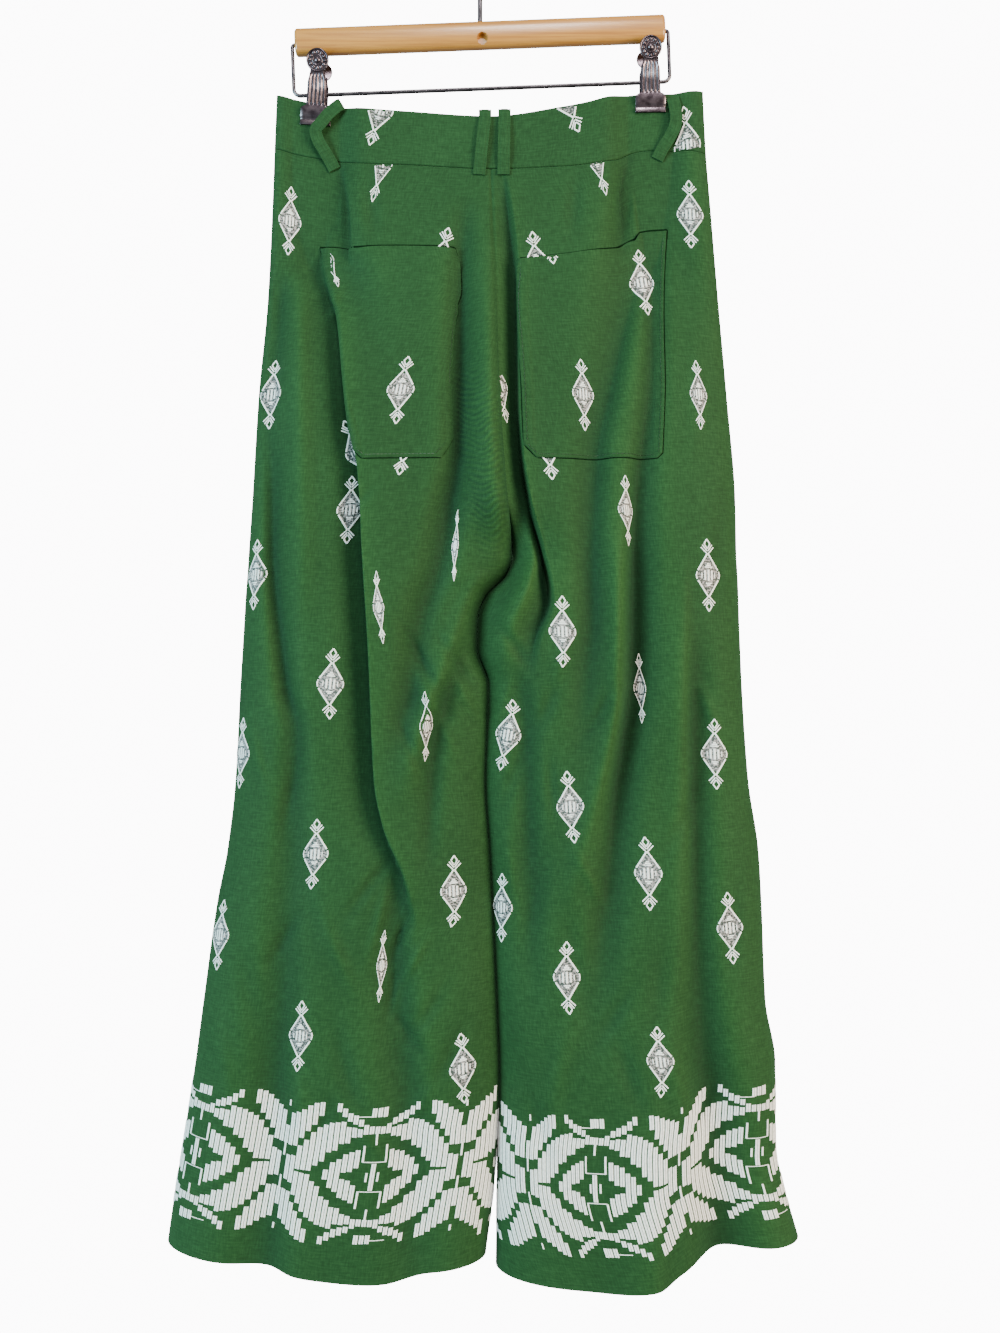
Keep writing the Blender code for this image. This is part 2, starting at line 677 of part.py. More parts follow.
def build_loops(back, front):
    back_grids = (panels["back_left"][0][:2], panels["back_right"][0][:2], back)
    for where, x_low, x_high in (("left", -0.0005, 0.0050), ("right", 0.0216, 0.0225)):
        top = waist.at(x_high, "top")
        foot = waist.at(x_low, "seam") - loop_foot
        side = panels["back_left" if x_low < 0.010 else "back_right"][0][:2]
        upright_loop(f"loop_centre_{where}", -1, (side, back), x_low, x_high, float(top), float(foot))
    side_loop("loop_side_left", (panels["back_left"][0][:2], back), left_loop_stations)
    side_loop("loop_side_right", (panels["back_right"][0][:2], back), right_loop_stations)
    for where, x in (("left", -0.086), ("right", 0.092)):
        top, foot = waist.at(x, "top"), waist.at(x, "seam") - loop_foot
        side = panels[f"front_{where}"][0][:2]
        upright_loop(f"loop_front_{where}", 1, (side, front), x, x, float(top), float(foot))


def build_button(tab):
    """A plain four-holed button on the raised tab of the front band."""
    seat = tab[band_rows // 2:band_rows // 2 + 2, 0:2].reshape(-1, 3).mean(axis=0)
    bpy.ops.mesh.primitive_cylinder_add(vertices=28, radius=button_radius, depth=button_thick)
    button = bpy.context.object
    button.name = button.data.name = "button"
    for side_x in (-1, 1):
        for side_y in (-1, 1):
            place = (side_x * button_hole_apart / 2, side_y * button_hole_apart / 2, 0)
            bpy.ops.mesh.primitive_cylinder_add(
                vertices=10, radius=button_hole, depth=button_thick * 3, location=place
            )
            cutter = bpy.context.object
            cutter.name = f"button_hole_cutter_{side_x}_{side_y}"
            cutter.hide_render = True
            cutter.display_type = "WIRE"
            for holder in list(cutter.users_collection):
                holder.objects.unlink(cutter)
            cutters.objects.link(cutter)
            cutter.parent = button
            cut = button.modifiers.new("hole", "BOOLEAN")
            cut.operation = "DIFFERENCE"
            cut.object = cutter
    rim = button.modifiers.new("rim", "BEVEL")
    rim.width, rim.segments, rim.limit_method = button_rim, 1, "ANGLE"
    button.modifiers.move(len(button.modifiers) - 1, 0)
    button.rotation_euler = (math.radians(90), 0, 0)
    button.location = (seat[0], seat[1] + button_gap + button_thick / 2, seat[2])
    add(button, horn)


# The hanger
def on_hanger(along, up, out=0.0):
    """A point given along and up from the bar's centre, with the hanger's tilt."""
    return (
        along * math.cos(hanger_tilt) - up * math.sin(hanger_tilt),
        out,
        bar_height + along * math.sin(hanger_tilt) + up * math.cos(hanger_tilt),
    )


def build_bar():
    bpy.ops.mesh.primitive_cylinder_add(
        vertices=28, radius=0.5, depth=bar_length, rotation=(0, math.radians(90), 0)
    )
    bar = bpy.context.object
    bar.name = bar.data.name = "hanger_bar"
    bar.data.transform(Matrix.Rotation(math.radians(90), 4, "Y"))
    bar.rotation_euler = (0, 0, 0)
    bar.data.transform(Matrix.Diagonal((1, bar_deep, bar_tall, 1)))
    bevel = bar.modifiers.new("ends", "BEVEL")
    bevel.width, bevel.segments, bevel.limit_method = bar_round, 3, "ANGLE"
    bevel.angle_limit = math.radians(60)
    bar.rotation_euler = (0, -hanger_tilt, 0)
    bar.location = (0, 0, bar_height)
    add(bar, wood)


def build_wire():
    """The wire runs out of one end of the bar, under it and back into the other end."""
    end = bar_length / 2 + seam
    leg = bar_length / 2 + wire_radius + wire_clear
    start_left, corner_left = (-end, 0, wire_start), (-leg, 0, wire_start)
    low_left, low_right = (-leg, 0, -wire_drop), (leg, 0, -wire_drop)
    corner_right, start_right = (leg, 0, wire_start), (end, 0, wire_start)
    points = [start_left]
    points += rounded_corner(start_left, corner_left, low_left, wire_bend)
    points += rounded_corner(corner_left, low_left, low_right, wire_corner)
    points += rounded_corner(low_left, low_right, corner_right, wire_corner)
    points += rounded_corner(low_right, corner_right, start_right, wire_bend)
    points.append(start_right)
    tube("hanger_wire", [on_hanger(x, z, y) for x, y, z in points], wire_radius, steel)


def build_hook():
    """A straight stem that swings out and round into an open crook over the origin."""
    round_radius = crook_radius + hook_radius
    join = math.radians(crook_start)
    join_x, join_z = round_radius * math.cos(join), -crook_radius + round_radius * math.sin(join)
    turn_z = join_z + join_x / math.tan(join)
    stem_top = turn_z - stem_bend
    points = [(0, 0, bar_height + bar_tall / 2 + seam), (0, 0, (bar_height + stem_top) / 2)]
    bend_steps = 6
    for step in range(bend_steps):
        t = step / bend_steps
        rise = (1 - t) ** 2 * stem_top + 2 * t * (1 - t) * turn_z + t * t * join_z
        points.append((t * t * join_x, 0, rise))
    for degrees in range(crook_start, crook_end + 1, 15):
        turn = math.radians(degrees)
        points.append((round_radius * math.cos(turn), 0, -crook_radius + round_radius * math.sin(turn)))
    tube("hanger_hook", points, hook_radius, steel)


def plate_rows():
    """Height up the clip, half width and distance from its middle, for one clip plate."""
    rows = list(clip_body)
    neck_rise, _, neck_out = clip_body[-1]
    for degrees in range(-60, 90, 25):
        turn = math.radians(degrees)
        rise = clip_head_height + clip_head_radius * math.sin(turn)
        out = neck_out + (rise - neck_rise) * clip_head_splay
        rows.append((rise, clip_head_radius * math.cos(turn), out))
    return rows


def build_clip(where, x, lean):
    """Two pressed plates, back and front, that turn on a sprung barrel round the wire."""
    along = (x - wire_drop * math.sin(hanger_tilt)) / math.cos(hanger_tilt)
    pivot = Vector(on_hanger(along, -wire_drop))
    turn = Matrix.Translation(pivot) @ Matrix.Rotation(lean, 4, "Y")
    for face, word in ((-1, "front"), (1, "rear")):
        grid = []
        for rise, half_width, out in plate_rows():
            row = [(half_width * share, face * out, rise - clip_pivot) for share in (-1, -0.5, 0, 0.5, 1)]
            grid.append([turn @ Vector(point) for point in row])
        middle = np.array([[list(point) for point in row] for row in grid])
        half = np.array([0, face * clip_plate / 2, 0])
        closed_wall(f"clip_{where}_{word}", middle + half, middle - half, steel)
    bpy.ops.mesh.primitive_cylinder_add(
        vertices=20, radius=spring_radius, depth=spring_length, end_fill_type="NOTHING"
    )
    spring = bpy.context.object
    spring.name = spring.data.name = f"clip_{where}_spring"
    wall = spring.modifiers.new("wall", "SOLIDIFY")
    wall.thickness = spring_radius - wire_radius - seam
    wall.offset = -1
    spring.rotation_euler = (0, math.radians(90) - hanger_tilt, 0)
    spring.location = pivot
    add(spring, steel)


clear_scene()
model = bpy.data.collections.new("culottes_on_hanger")
cutters = bpy.data.collections.new("cutters")
for collection in (model, cutters):
    bpy.context.scene.collection.children.link(collection)
linen = make_material("green_linen", (0.036, 0.135, 0.040), 0.82)
wood = make_material("pale_wood", (0.62, 0.36, 0.14), 0.45)
steel = make_material("bright_steel", (0.55, 0.52, 0.52), 0.25, 1.0)
horn = make_material("green_button", (0.030, 0.100, 0.034), 0.35)

panels = build_panels()
band_back, band_front, band_tab = build_bands()
build_patch("pocket_left", panels["back_left"], (3, 9), (3, 17), corner=0.9, lift=(0.17, 0.17))
build_patch("pocket_right", panels["back_right"], (3, 9), (2, 17), corner=0.2, lift=(0.05, 0.45))
build_patch("fly", panels["front_right"], (0, 4), (0, 2), corner=0.5)
build_loops(band_back, band_front)
build_button(band_tab)
build_bar()
build_wire()
build_hook()
for where, x, lean in zip(("left", "right"), clip_at, clip_lean):
    build_clip(where, x, lean)
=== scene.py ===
# Wide-leg culottes on a clip hanger, seen from behind.
# Metres, Z up, but millimetres in the tables. The garment's back faces -Y, and "left" is -X.

import math

import bmesh
import bpy
import numpy as np
from mathutils import Matrix, Vector


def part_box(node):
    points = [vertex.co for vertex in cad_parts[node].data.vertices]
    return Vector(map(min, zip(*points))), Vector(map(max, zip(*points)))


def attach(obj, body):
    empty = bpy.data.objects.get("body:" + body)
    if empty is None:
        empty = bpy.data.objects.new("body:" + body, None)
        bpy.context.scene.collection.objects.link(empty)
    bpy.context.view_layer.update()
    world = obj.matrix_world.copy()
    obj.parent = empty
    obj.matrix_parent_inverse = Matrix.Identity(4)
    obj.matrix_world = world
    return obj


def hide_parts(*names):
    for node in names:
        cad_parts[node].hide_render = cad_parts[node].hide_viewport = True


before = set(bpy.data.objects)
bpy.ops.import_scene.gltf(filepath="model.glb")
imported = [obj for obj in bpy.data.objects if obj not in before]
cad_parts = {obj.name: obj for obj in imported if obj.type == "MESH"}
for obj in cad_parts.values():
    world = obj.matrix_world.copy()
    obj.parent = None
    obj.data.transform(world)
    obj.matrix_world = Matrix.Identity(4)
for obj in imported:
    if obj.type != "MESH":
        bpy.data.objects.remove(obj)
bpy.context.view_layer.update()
bpy.ops.object.select_all(action="DESELECT")
print("frame loaded:", len(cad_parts), "nodes")

# What the whole garment shares
cloth = {
    "wall": 0.0011,
    "seam": 0.00004,
    "bandTop": -0.133,       # nominal heights
    "waist": -0.190,
    "pocketFoot": -0.472,
    "crotchStart": -0.510,
    "crotch": -0.562,
    "inseamColumns": -0.655,
    "hem": -1.186,
    "sagFade": 0.26,
    "dropFade": 0.34,
    "torsoPower": 5,
    "legPower": 3,
    "clipAt": (-0.1494, 0.1561),
    "clipPressWidth": 0.032,
    "clipPressFade": 0.240,
    "edgeRadius": 0.003,
    "leastOut": 0.0016,      # the least that the outer face stands out, away from the edges
    "lapLean": 0.014,        # how far a lap's edge draws the cloth aside
}
seatSeam = {"deep": 0.0012, "reach": 0.0016, "from": 0.003}
waistTurn = {"tall": 0.0016, "into": 0.0013, "behind": 0.0004, "reach": 0.006}
halfSeam = cloth["seam"] / 2
studio = {
    "camera": (0.0184, -1.05, -0.6625), "lens": 30.82,
    "shown": 12.0, "wall": (0.98, 0.965, 0.975, 1),      # what the camera sees behind the garment
    "soft": 0.38, "softColour": (0.90, 0.93, 0.95, 1),   # what lights it from all around
}


# Tables: rows of millimetres with named columns, read smoothly by their first column

def tableOf(names, rows, plain=()):
    # the plain columns aren't lengths
    rows = np.array(sorted(rows), float)
    return {name: rows[:, i] / (1 if name in plain else 1000) for i, name in enumerate(names.split())}


def read(table, name, at):
    keys, values = next(iter(table.values())), table[name]
    steps = np.diff(keys)
    slopes = np.diff(values) / steps
    sameWay = slopes[:-1] * slopes[1:] > 0
    total = np.where(sameWay, slopes[:-1] + slopes[1:], 1.0)
    inside = np.where(sameWay, 2 * slopes[:-1] * slopes[1:] / total, 0.0)
    tangents = np.concatenate([slopes[:1], inside, slopes[-1:]])
    at = np.clip(at, keys[0], keys[-1])
    i = np.clip(np.searchsorted(keys, at, side="right") - 1, 0, len(steps) - 1)
    t = (at - keys[i]) / steps[i]
    rise = values[i + 1] - values[i]
    start, end = tangents[i] * steps[i], tangents[i + 1] * steps[i]
    return values[i] + t * (start + t * (3 * rise - 2 * start - end + t * (start + end - 2 * rise)))


def ease(low, high, value):
    share = np.clip((value - low) / (high - low), 0, 1)
    return share * share * (3 - 2 * share)


def bell(offset, reach, power=2):
    # 1 in the middle, fading out around the reach
    return np.exp(-((offset / reach) ** power))


def quarterRound(share):
    # how far a rounded edge falls away, from 0 to 1
    return 1 - np.sqrt(1 - share ** 2)


def lengths(vectors):
    return np.linalg.norm(vectors, axis=-1)


def unit(vectors):
    return vectors / np.maximum(lengths(vectors)[..., None], 1e-12)


def runningSum(steps):
    return np.concatenate([np.zeros((*steps.shape[:-1], 1)), np.cumsum(steps, axis=-1)], axis=-1)


# Side seams, centre or inseams, half the gap between the legs, depth of back and front
outline = tableOf("z left middle right halfGap back front", (
    (-133, -187, 9, 205, -0.2, 12, 10), (-190, -189, 10, 208, -0.2, 15, 12),
    (-233, -190.5, 11.5, 211.5, -0.2, 19, 15), (-325, -195, 15.5, 219, -0.2, 27, 20),
    (-417, -203.5, 18.5, 227, -0.2, 34, 25), (-509, -209, 25, 234.5, -0.2, 39, 29),
    (-562, -212.5, 30, 235.5, -0.2, 41, 31), (-578, -213.5, 24.8, 236.5, -0.6, 41, 31),
    (-598, -215, 5.5, 237.4, -1, 41, 31), (-620, -216.3, -2, 238, -1.2, 41, 31),
    (-645, -217.8, -2.5, 239, -1.2, 41, 31), (-680, -220, 8, 240.5, -1.2, 40, 31),
    (-767, -224.5, 5, 246.5, -1.2, 39, 30), (-831, -232, 9, 255.8, -1.2, 39, 30),
    (-877, -241, 11.5, 258.5, -1.1, 40, 31), (-969, -254, 16, 262.2, -1, 42, 32),
    (-1025, -261.5, 18, 271.2, -0.8, 43, 33), (-1102, -273.5, 15, 271.6, 0.4, 45, 35),
    (-1139, -279.5, 13, 278.8, 2, 46, 36), (-1186, -286.2, 10, 292, 4.4, 47, 37),
))
waistLine = tableOf("x top seam", (  # the band sags between the clips and beyond them
    (-188, -136.7, -187.3), (-161, -143.2, -193.5), (-130, -149, -198.8), (-106, -153.4, -205),
    (-65, -156.8, -207), (10, -161.2, -210.5), (74, -152.7, -208.2), (101, -147.3, -205.5),
    (122, -141, -200.8), (140, -137.2, -190.8), (156, -136.2, -188.4), (176, -136, -189.4),
    (208, -133.6, -191.9),
))
hemLine = tableOf("x z", (
    (-286, -1186.4), (-214, -1193), (-183, -1197), (-165, -1200.5), (-85, -1207.7), (-45, -1202.4),
    (5, -1200.2), (15, -1210.4), (112, -1212.9), (159, -1208.6), (178, -1199.4), (223, -1185.5),
    (292, -1183.7),
))

# Soft folds: rise is how far each stands out (in where negative), left and right how far it reaches
foldColumns = "z x rise left right"
backFolds = [tableOf(foldColumns, rows) for rows in (
    (  # below the left clip
        (-150, -149, 0, 16, 16), (-200, -150, -6, 16, 16), (-260, -152, -7, 14, 12),
        (-320, -150, 0, 16, 12),
    ),
    (  # left of the seat seam
        (-215, -12, 0, 10, 10), (-294, -17, -7, 11, 10), (-427, -18, -11, 13, 12),
        (-471, -19, -11, 13, 12), (-515, -26, -11, 14, 13), (-568, -35, -9, 15, 14),
        (-621, -52, -7, 14, 13), (-692, -63, -5, 12, 12), (-745, -70, 0, 12, 12),
    ),
    (  # a hollow and a ridge between the left side and the pocket
        (-300, -182, 0, 10, 8), (-340, -182, -4, 10, 8), (-430, -188, -4, 10, 8),
        (-470, -192, 0, 10, 8),
    ),
    (
        (-300, -165, 0, 10, 10), (-350, -163, 4, 11, 10), (-450, -160, 5, 12, 12),
        (-560, -158, 4, 14, 14), (-640, -158, 0, 14, 14),
    ),
    (  # the ridge along the seat seam
        (-220, 6, 0, 12, 9), (-330, 8, 5, 12, 10), (-430, 10, 8, 14, 11), (-500, 14, 9, 18, 12),
        (-555, 20, 5, 18, 12), (-580, 20, 0, 16, 12),
    ),
    (  # the bulge beside the crotch
        (-500, 36, 0, 8, 8), (-540, 46, 7, 8, 7), (-565, 50, 11, 9, 7), (-590, 43, 10, 12, 9),
        (-630, 26, 7, 15, 13), (-700, 16, 0, 14, 16),
    ),
    (  # down the right pocket and the thigh under it
        (-270, 143, 0, 14, 10), (-312, 140, -5, 22, 10), (-365, 128, -8, 26, 11),
        (-427, 114, -9, 26, 11), (-471, 105, -9, 22, 11), (-568, 100, -9, 16, 12),
        (-621, 100, -7, 13, 12), (-674, 95, -5, 14, 12), (-750, 88, 0, 14, 12),
    ),
    (  # below the right clip
        (-150, 157, 0, 14, 12), (-200, 158, -7, 14, 12), (-300, 158, -7, 12, 12),
        (-400, 154, -7, 10, 14), (-506, 142, -10, 10, 16), (-568, 139, -13, 9, 18),
        (-674, 137, -14, 9, 20), (-728, 130, -13, 9, 20), (-781, 123, -12, 11, 20),
        (-843, 118, -10, 13, 20), (-930, 108, -6, 18, 20), (-1010, 100, 0, 20, 20),
    ),
    (  # between the right dart and the side loop
        (-200, 131, 0, 7, 8), (-225, 130, -3, 7, 8), (-255, 130, -3, 7, 8), (-290, 129, 0, 8, 8),
    ),
    (  # left of that, a flatter one that leans inwards
        (-540, 122, 0, 7, 8), (-600, 122, 4, 7, 8), (-690, 121, 5, 8, 8), (-760, 108, 4, 10, 8),
        (-830, 90, 3, 12, 10), (-900, 74, 0, 12, 10),
    ),
    (  # down the outside of the right leg
        (-620, 197, 0, 12, 14), (-700, 194, -6, 12, 15), (-850, 193, -9, 15, 18),
        (-1000, 201, -14, 20, 22), (-1100, 212, -21, 24, 34), (-1210, 216, -30, 28, 44),
    ),
    (  # a pressed ridge towards the right side
        (-560, 182, 0, 10, 6), (-660, 181, 4, 14, 6), (-860, 184, 4, 16, 7), (-960, 186, 0, 16, 8),
    ),
    (  # the fullest part of the right hem
        (-940, 148, 0, 30, 18), (-1100, 152, 6, 34, 18), (-1210, 152, 10, 40, 18),
    ),
    (  # inside of the right leg
        (-660, 36, 0, 10, 10), (-720, 42, -6, 11, 10), (-800, 44, -6, 12, 11), (-900, 46, -3, 12, 12),
        (-980, 48, 0, 12, 12),
    ),
    (  # inside of the left thigh, from the crotch down and out
        (-575, 4, 0, 10, 10), (-600, -8, 5, 11, 10), (-674, -35, 6, 12, 11), (-728, -55, 5, 12, 11),
        (-790, -66, 0, 12, 12),
    ),
    (  # the hollow beside it
        (-640, -14, 0, 10, 10), (-690, -30, -4, 9, 10), (-740, -41, -5, 8, 10), (-800, -44, -3, 8, 9),
        (-850, -46, 0, 8, 9),
    ),
    (  # at the left knee
        (-830, -82, 0, 20, 10), (-890, -72, -6, 24, 10), (-950, -72, -9, 24, 14),
        (-1050, -62, -8, 22, 20), (-1210, -55, -6, 28, 28),
    ),
    (  # down the outside of the left leg
        (-440, -190, 0, 9, 10), (-489, -187, -5, 8, 12), (-568, -185, -8, 8, 12),
        (-639, -178, -9, 9, 12), (-683, -172, -9, 10, 10), (-720, -164, -6, 12, 10),
        (-800, -166, -6, 16, 15), (-1000, -180, -10, 24, 20), (-1210, -192, -14, 34, 22),
    ),
)]
frontFolds = [tableOf(foldColumns, rows) for rows in (
    (  # below the left clip
        (-150, -149, 0, 16, 16), (-210, -150, -5, 16, 16), (-400, -146, -10, 18, 14),
        (-620, -134, -12, 22, 14), (-900, -150, -7, 26, 20), (-1210, -178, -12, 34, 30),
    ),
    (  # below the right clip
        (-150, 157, 0, 14, 14), (-210, 158, -5, 14, 14), (-380, 160, -9, 16, 18),
        (-640, 150, -13, 15, 22), (-930, 166, -8, 22, 26), (-1210, 192, -14, 32, 36),
    ),
    (  # left of the fly
        (-330, -30, 0, 14, 14), (-450, -34, -6, 14, 12), (-580, -52, -10, 18, 14),
        (-760, -70, -7, 20, 18), (-900, -78, 0, 22, 22),
    ),
    (  # right of the fly
        (-360, 72, 0, 14, 14), (-470, 74, -6, 12, 14), (-600, 82, -10, 14, 18),
        (-800, 86, -7, 20, 20), (-960, 84, 0, 22, 22),
    ),
    (  # at the left hem
        (-900, -62, 0, 20, 20), (-1060, -58, -6, 24, 24), (-1210, -66, -10, 30, 30),
    ),
    (  # at the right hem
        (-940, 78, 0, 20, 20), (-1080, 84, -7, 24, 24), (-1210, 90, -10, 30, 30),
    ),
    (  # a ridge down the left thigh
        (-480, -100, 0, 16, 20), (-620, -100, 4, 16, 20), (-820, -112, 4, 20, 20),
        (-980, -118, 0, 22, 22),
    ),
    (  # a ridge down the right thigh
        (-440, 118, 0, 14, 14), (-580, 118, 4, 16, 12), (-780, 126, 4, 18, 16),
        (-1000, 134, 0, 22, 22),
    ),
)]

# Lapped folds: the cloth on the right of the line stands over the cloth on its left
lapColumns = "z x drop stand over left right"
backLaps = [tableOf(lapColumns, rows) for rows in (
    (  # down the left pocket and the left leg
        (-280, -147, 0, 0, 0, 18, 30), (-305, -140, 5, 2, 1, 18, 30), (-340, -127, 9, 4, 3, 20, 34),
        (-400, -118, 12, 6, 5, 21, 38), (-444, -112, 13, 7, 6, 22, 38),
        (-489, -103, 14, 8, 7, 24, 38), (-568, -98, 14, 9, 7, 26, 36), (-648, -94, 13, 9, 6, 26, 34),
        (-763, -90, 11, 8, 5, 26, 32), (-804, -83, 9, 7, 4, 28, 28), (-851, -66, 6, 5, 2, 26, 24),
        (-895, -57, 0, 0, 0, 24, 20),
    ),
    (  # right of the seat seam
        (-192, 22, 0, 0, 0, 12, 18), (-225, 27, 5, 1, 0, 12, 18), (-260, 31, 8, 1, 0, 13, 18),
        (-305, 35, 11, 2, 2, 14, 18), (-427, 36, 13, 3, 2, 14, 18), (-471, 39, 15, 3, 2, 15, 18),
        (-515, 46, 18, 3, 2, 16, 18), (-559, 57, 19, 2, 1, 12, 20), (-604, 64, 13, 1, 0, 12, 20),
        (-640, 52, 6, 0, 0, 14, 20), (-670, 46, 0, 0, 0, 14, 20),
    ),
    (  # from the left side loop down to the pocket
        (-193, -125.5, 0, 0, 0, 12, 16), (-212, -121.5, 4, 1, 1, 14, 16),
        (-240, -117.5, 6, 2, 2, 15, 16), (-268, -116, 5, 2, 2, 15, 16), (-290, -116, 0, 0, 0, 14, 14),
    ),
    (  # from the right side loop down to the pocket
        (-194, 160, 0, 0, 0, 10, 12), (-215, 161, 4, 1, 1, 12, 12), (-245, 160.5, 5, 1, 1, 12, 12),
        (-275, 160, 0, 0, 0, 12, 12),
    ),
)]
folds = {-1: backFolds, 1: frontFolds}
laps = {-1: backLaps, 1: []}
lapWall = 0.0026        # half the width over which a lap's edge turns under
foldDepth = 1.22        # above the hem, the soft folds are deeper than their tables say, and narrower
foldDeepen = (-1.17, -0.98)
foldReach = 0.90
creaseDepth = 1.9
creaseBow = 0.10


def foldShift(face, x, height):
    # how far the folds move a point out, and sideways
    out, aside = np.zeros_like(x), np.zeros_like(x)
    deeper = 1 + (foldDepth - 1) * ease(*foldDeepen, height)
    for fold in folds[face]:
        line = read(fold, "x", height)
        inside = (height <= fold["z"][-1]) & (height >= fold["z"][0])
        rise = np.where(inside, read(fold, "rise", height), 0.0) * deeper
        reach = np.where(x < line, read(fold, "left", height), read(fold, "right", height)) * foldReach
        out += rise * bell(x - line, reach)
    for lap in laps[face]:
        past = x - read(lap, "x", height)
        inside = (height <= lap["z"][-1]) & (height >= lap["z"][0])
        upper = ease(-lapWall, lapWall, past)
        right, left = np.maximum(past, 0), np.minimum(past, 0)
        stands = upper * read(lap, "stand", height) * bell(right, read(lap, "right", height))
        drops = (1 - upper) * read(lap, "drop", height) * bell(left, read(lap, "left", height))
        out += np.where(inside, stands - drops, 0.0)
        lean = bell(right, cloth["lapLean"]) * upper
        aside -= np.where(inside, read(lap, "over", height) * lean, 0.0)
    return out, aside


def clipPress(x, height):
    # 1 where a clip holds back and front together
    pressed = np.zeros_like(x)
    fade = cloth["waist"] - cloth["clipPressFade"]
    for at in cloth["clipAt"]:
        width = cloth["clipPressWidth"] * (1 + ease(cloth["waist"], fade, height))
        below = 1 - ease(cloth["waist"] + 0.0016, fade, height)
        pressed = np.maximum(pressed, below * bell(x - at, width, 4))
    return pressed


# Short creases: x, z, length, width, turn from upright in degrees, rise
creaseColumns = "x z length width turn rise"
backCreases = (
    (-52, -655, 60, 4.5, -28, -1.8), (-40, -700, 70, 5, -26, 1.6), (-60, -735, 55, 4, -24, -1.4),
    (-20, -660, 50, 4.5, -34, -1.6), (-12, -690, 45, 4, -30, 1.2), (-72, -905, 50, 4, 24, -2),
    (-60, -925, 45, 3.5, 30, 1.4), (-78, -945, 40, 3.5, 8, -1.6), (-88, -885, 60, 5, 14, 1.6),
    (-45, -965, 50, 6, 35, -1.4), (-30, -1010, 60, 7, 28, -1.4), (-50, -1040, 50, 6, 40, 1.2),
    (-118, -1010, 70, 8, -16, -1.4), (-140, -1060, 50, 7, 22, -1.4), (-160, -1030, 50, 8, -12, 1.2),
    (-215, -690, 70, 6, 6, -1.4), (-200, -740, 50, 5, -14, 1.4), (-170, -780, 60, 6, 10, -1.4),
    (-150, -880, 80, 9, -6, -1.2), (-205, -950, 80, 10, -8, -1.4), (-228, -1010, 60, 8, -12, 1.2),
    (-130, -330, 30, 4, 20, 1), (-100, -520, 30, 4, 30, -1), (60, -700, 60, 6, 24, -1.6),
    (72, -660, 50, 5, 12, 1.2), (64, -770, 50, 5, -4, -1.2), (28, -640, 40, 5, -36, -1.8),
    (18, -700, 50, 5, 20, 1.4), (30, -760, 60, 6, 14, -1.4), (26, -840, 60, 6, -8, 1.2),
    (54, -860, 80, 8, 12, -1.4), (85, -920, 80, 9, -10, -1.4), (160, -940, 70, 9, 8, -1.2),
    (132, -1010, 60, 8, -18, -1.4), (70, -1010, 70, 9, 12, 1.4), (55, -1060, 60, 8, -16, -1.4),
    (175, -1020, 80, 9, -16, 1.6), (226, -900, 80, 8, 4, -1.2), (215, -560, 80, 7, 3, -1),
    (196, -420, 90, 8, 2, 1), (130, -230, 50, 5, 2, -1.4), (142, -240, 60, 4, -3, 1.2),
    (86, -230, 50, 7, 4, -1.2), (-98, -235, 50, 7, -6, -1.2), (-128, -225, 60, 5, -2, 1.4),
    (-100, -860, 50, 5, 38, -1.4), (-125, -915, 60, 6, -24, 1.4), (-62, -985, 45, 4.5, -38, -1.4),
    (-175, -905, 50, 6, 30, -1.2), (-232, -870, 60, 6, 10, -1.4), (110, -700, 60, 5, 30, -1.4),
    (98, -850, 50, 5, -28, 1.4), (180, -800, 60, 6, 24, -1.2), (205, -700, 50, 5, -20, 1.2),
    (120, -965, 50, 6, 34, -1.4), (200, -1060, 50, 6, 30, -1.4), (-100, -1060, 45, 6, -36, 1.4),
)
frontCreases = (
    (-40, -540, 60, 6, -30, -1.6), (-60, -610, 60, 6, -24, 1.4), (-30, -640, 50, 5, -20, -1.4),
    (-110, -730, 80, 8, 8, -1.4), (-150, -800, 70, 8, -8, 1.2), (-190, -690, 80, 8, 6, -1.2),
    (-90, -950, 80, 9, 14, -1.4), (-140, -1020, 70, 9, -14, -1.4), (-60, -1060, 60, 8, 20, 1.4),
    (60, -550, 60, 6, 28, -1.6), (80, -630, 60, 6, 22, 1.4), (45, -690, 50, 6, 12, -1.4),
    (120, -760, 80, 8, -8, -1.4), (190, -720, 80, 8, -4, 1.2), (70, -930, 80, 9, -12, -1.4),
    (140, -1010, 70, 9, 14, 1.4), (205, -960, 80, 9, -8, -1.4), (-110, -250, 60, 6, -4, -1.2),
    (110, -250, 60, 6, 4, -1.2), (190, -400, 90, 8, -2, 1.2), (-170, -420, 90, 8, 2, -1.2),
)
creases = {
    -1: tableOf(creaseColumns, backCreases, ("turn",)),
    1: tableOf(creaseColumns, frontCreases, ("turn",)),
}

# The crumpled ripples that fan out of the crotch seam; their shade is how strongly they are also painted
# into the cloth's colour as shade and light
ripples = {
    "x": 0.002, "z": -0.476, "halfWidth": 0.018, "halfHeight": 0.084,
    "pitch": 0.0054, "rise": 0.00050, "slant": 0.62, "lean": 0.10, "peak": 0.003, "shade": 0.55,
    "wander": ((1.2, 260, 90), (0.9, -120, 210), (0.6, 40, 57)),
}


def smallShift(face, x, height):
    # creases and ripples, which only move a point out or in
    out = np.zeros_like(x)
    table = creases[face]
    for i in range(len(table["x"])):
        turn = math.radians(table["turn"][i])
        dx, dz = x - table["x"][i], height - table["z"][i]
        along = dz * math.cos(turn) + dx * math.sin(turn)
        across = dx * math.cos(turn) - dz * math.sin(turn)
        across = across + creaseBow * along ** 2 / table["length"][i] * math.cos(7.0 * i)
        reach = (along / (table["length"][i] / 2)) ** 2 + (across / table["width"][i]) ** 2
        out += creaseDepth * table["rise"][i] * np.exp(-reach)
    if face < 0:
        out += ripples["rise"] * rippled(x, height)
    return out


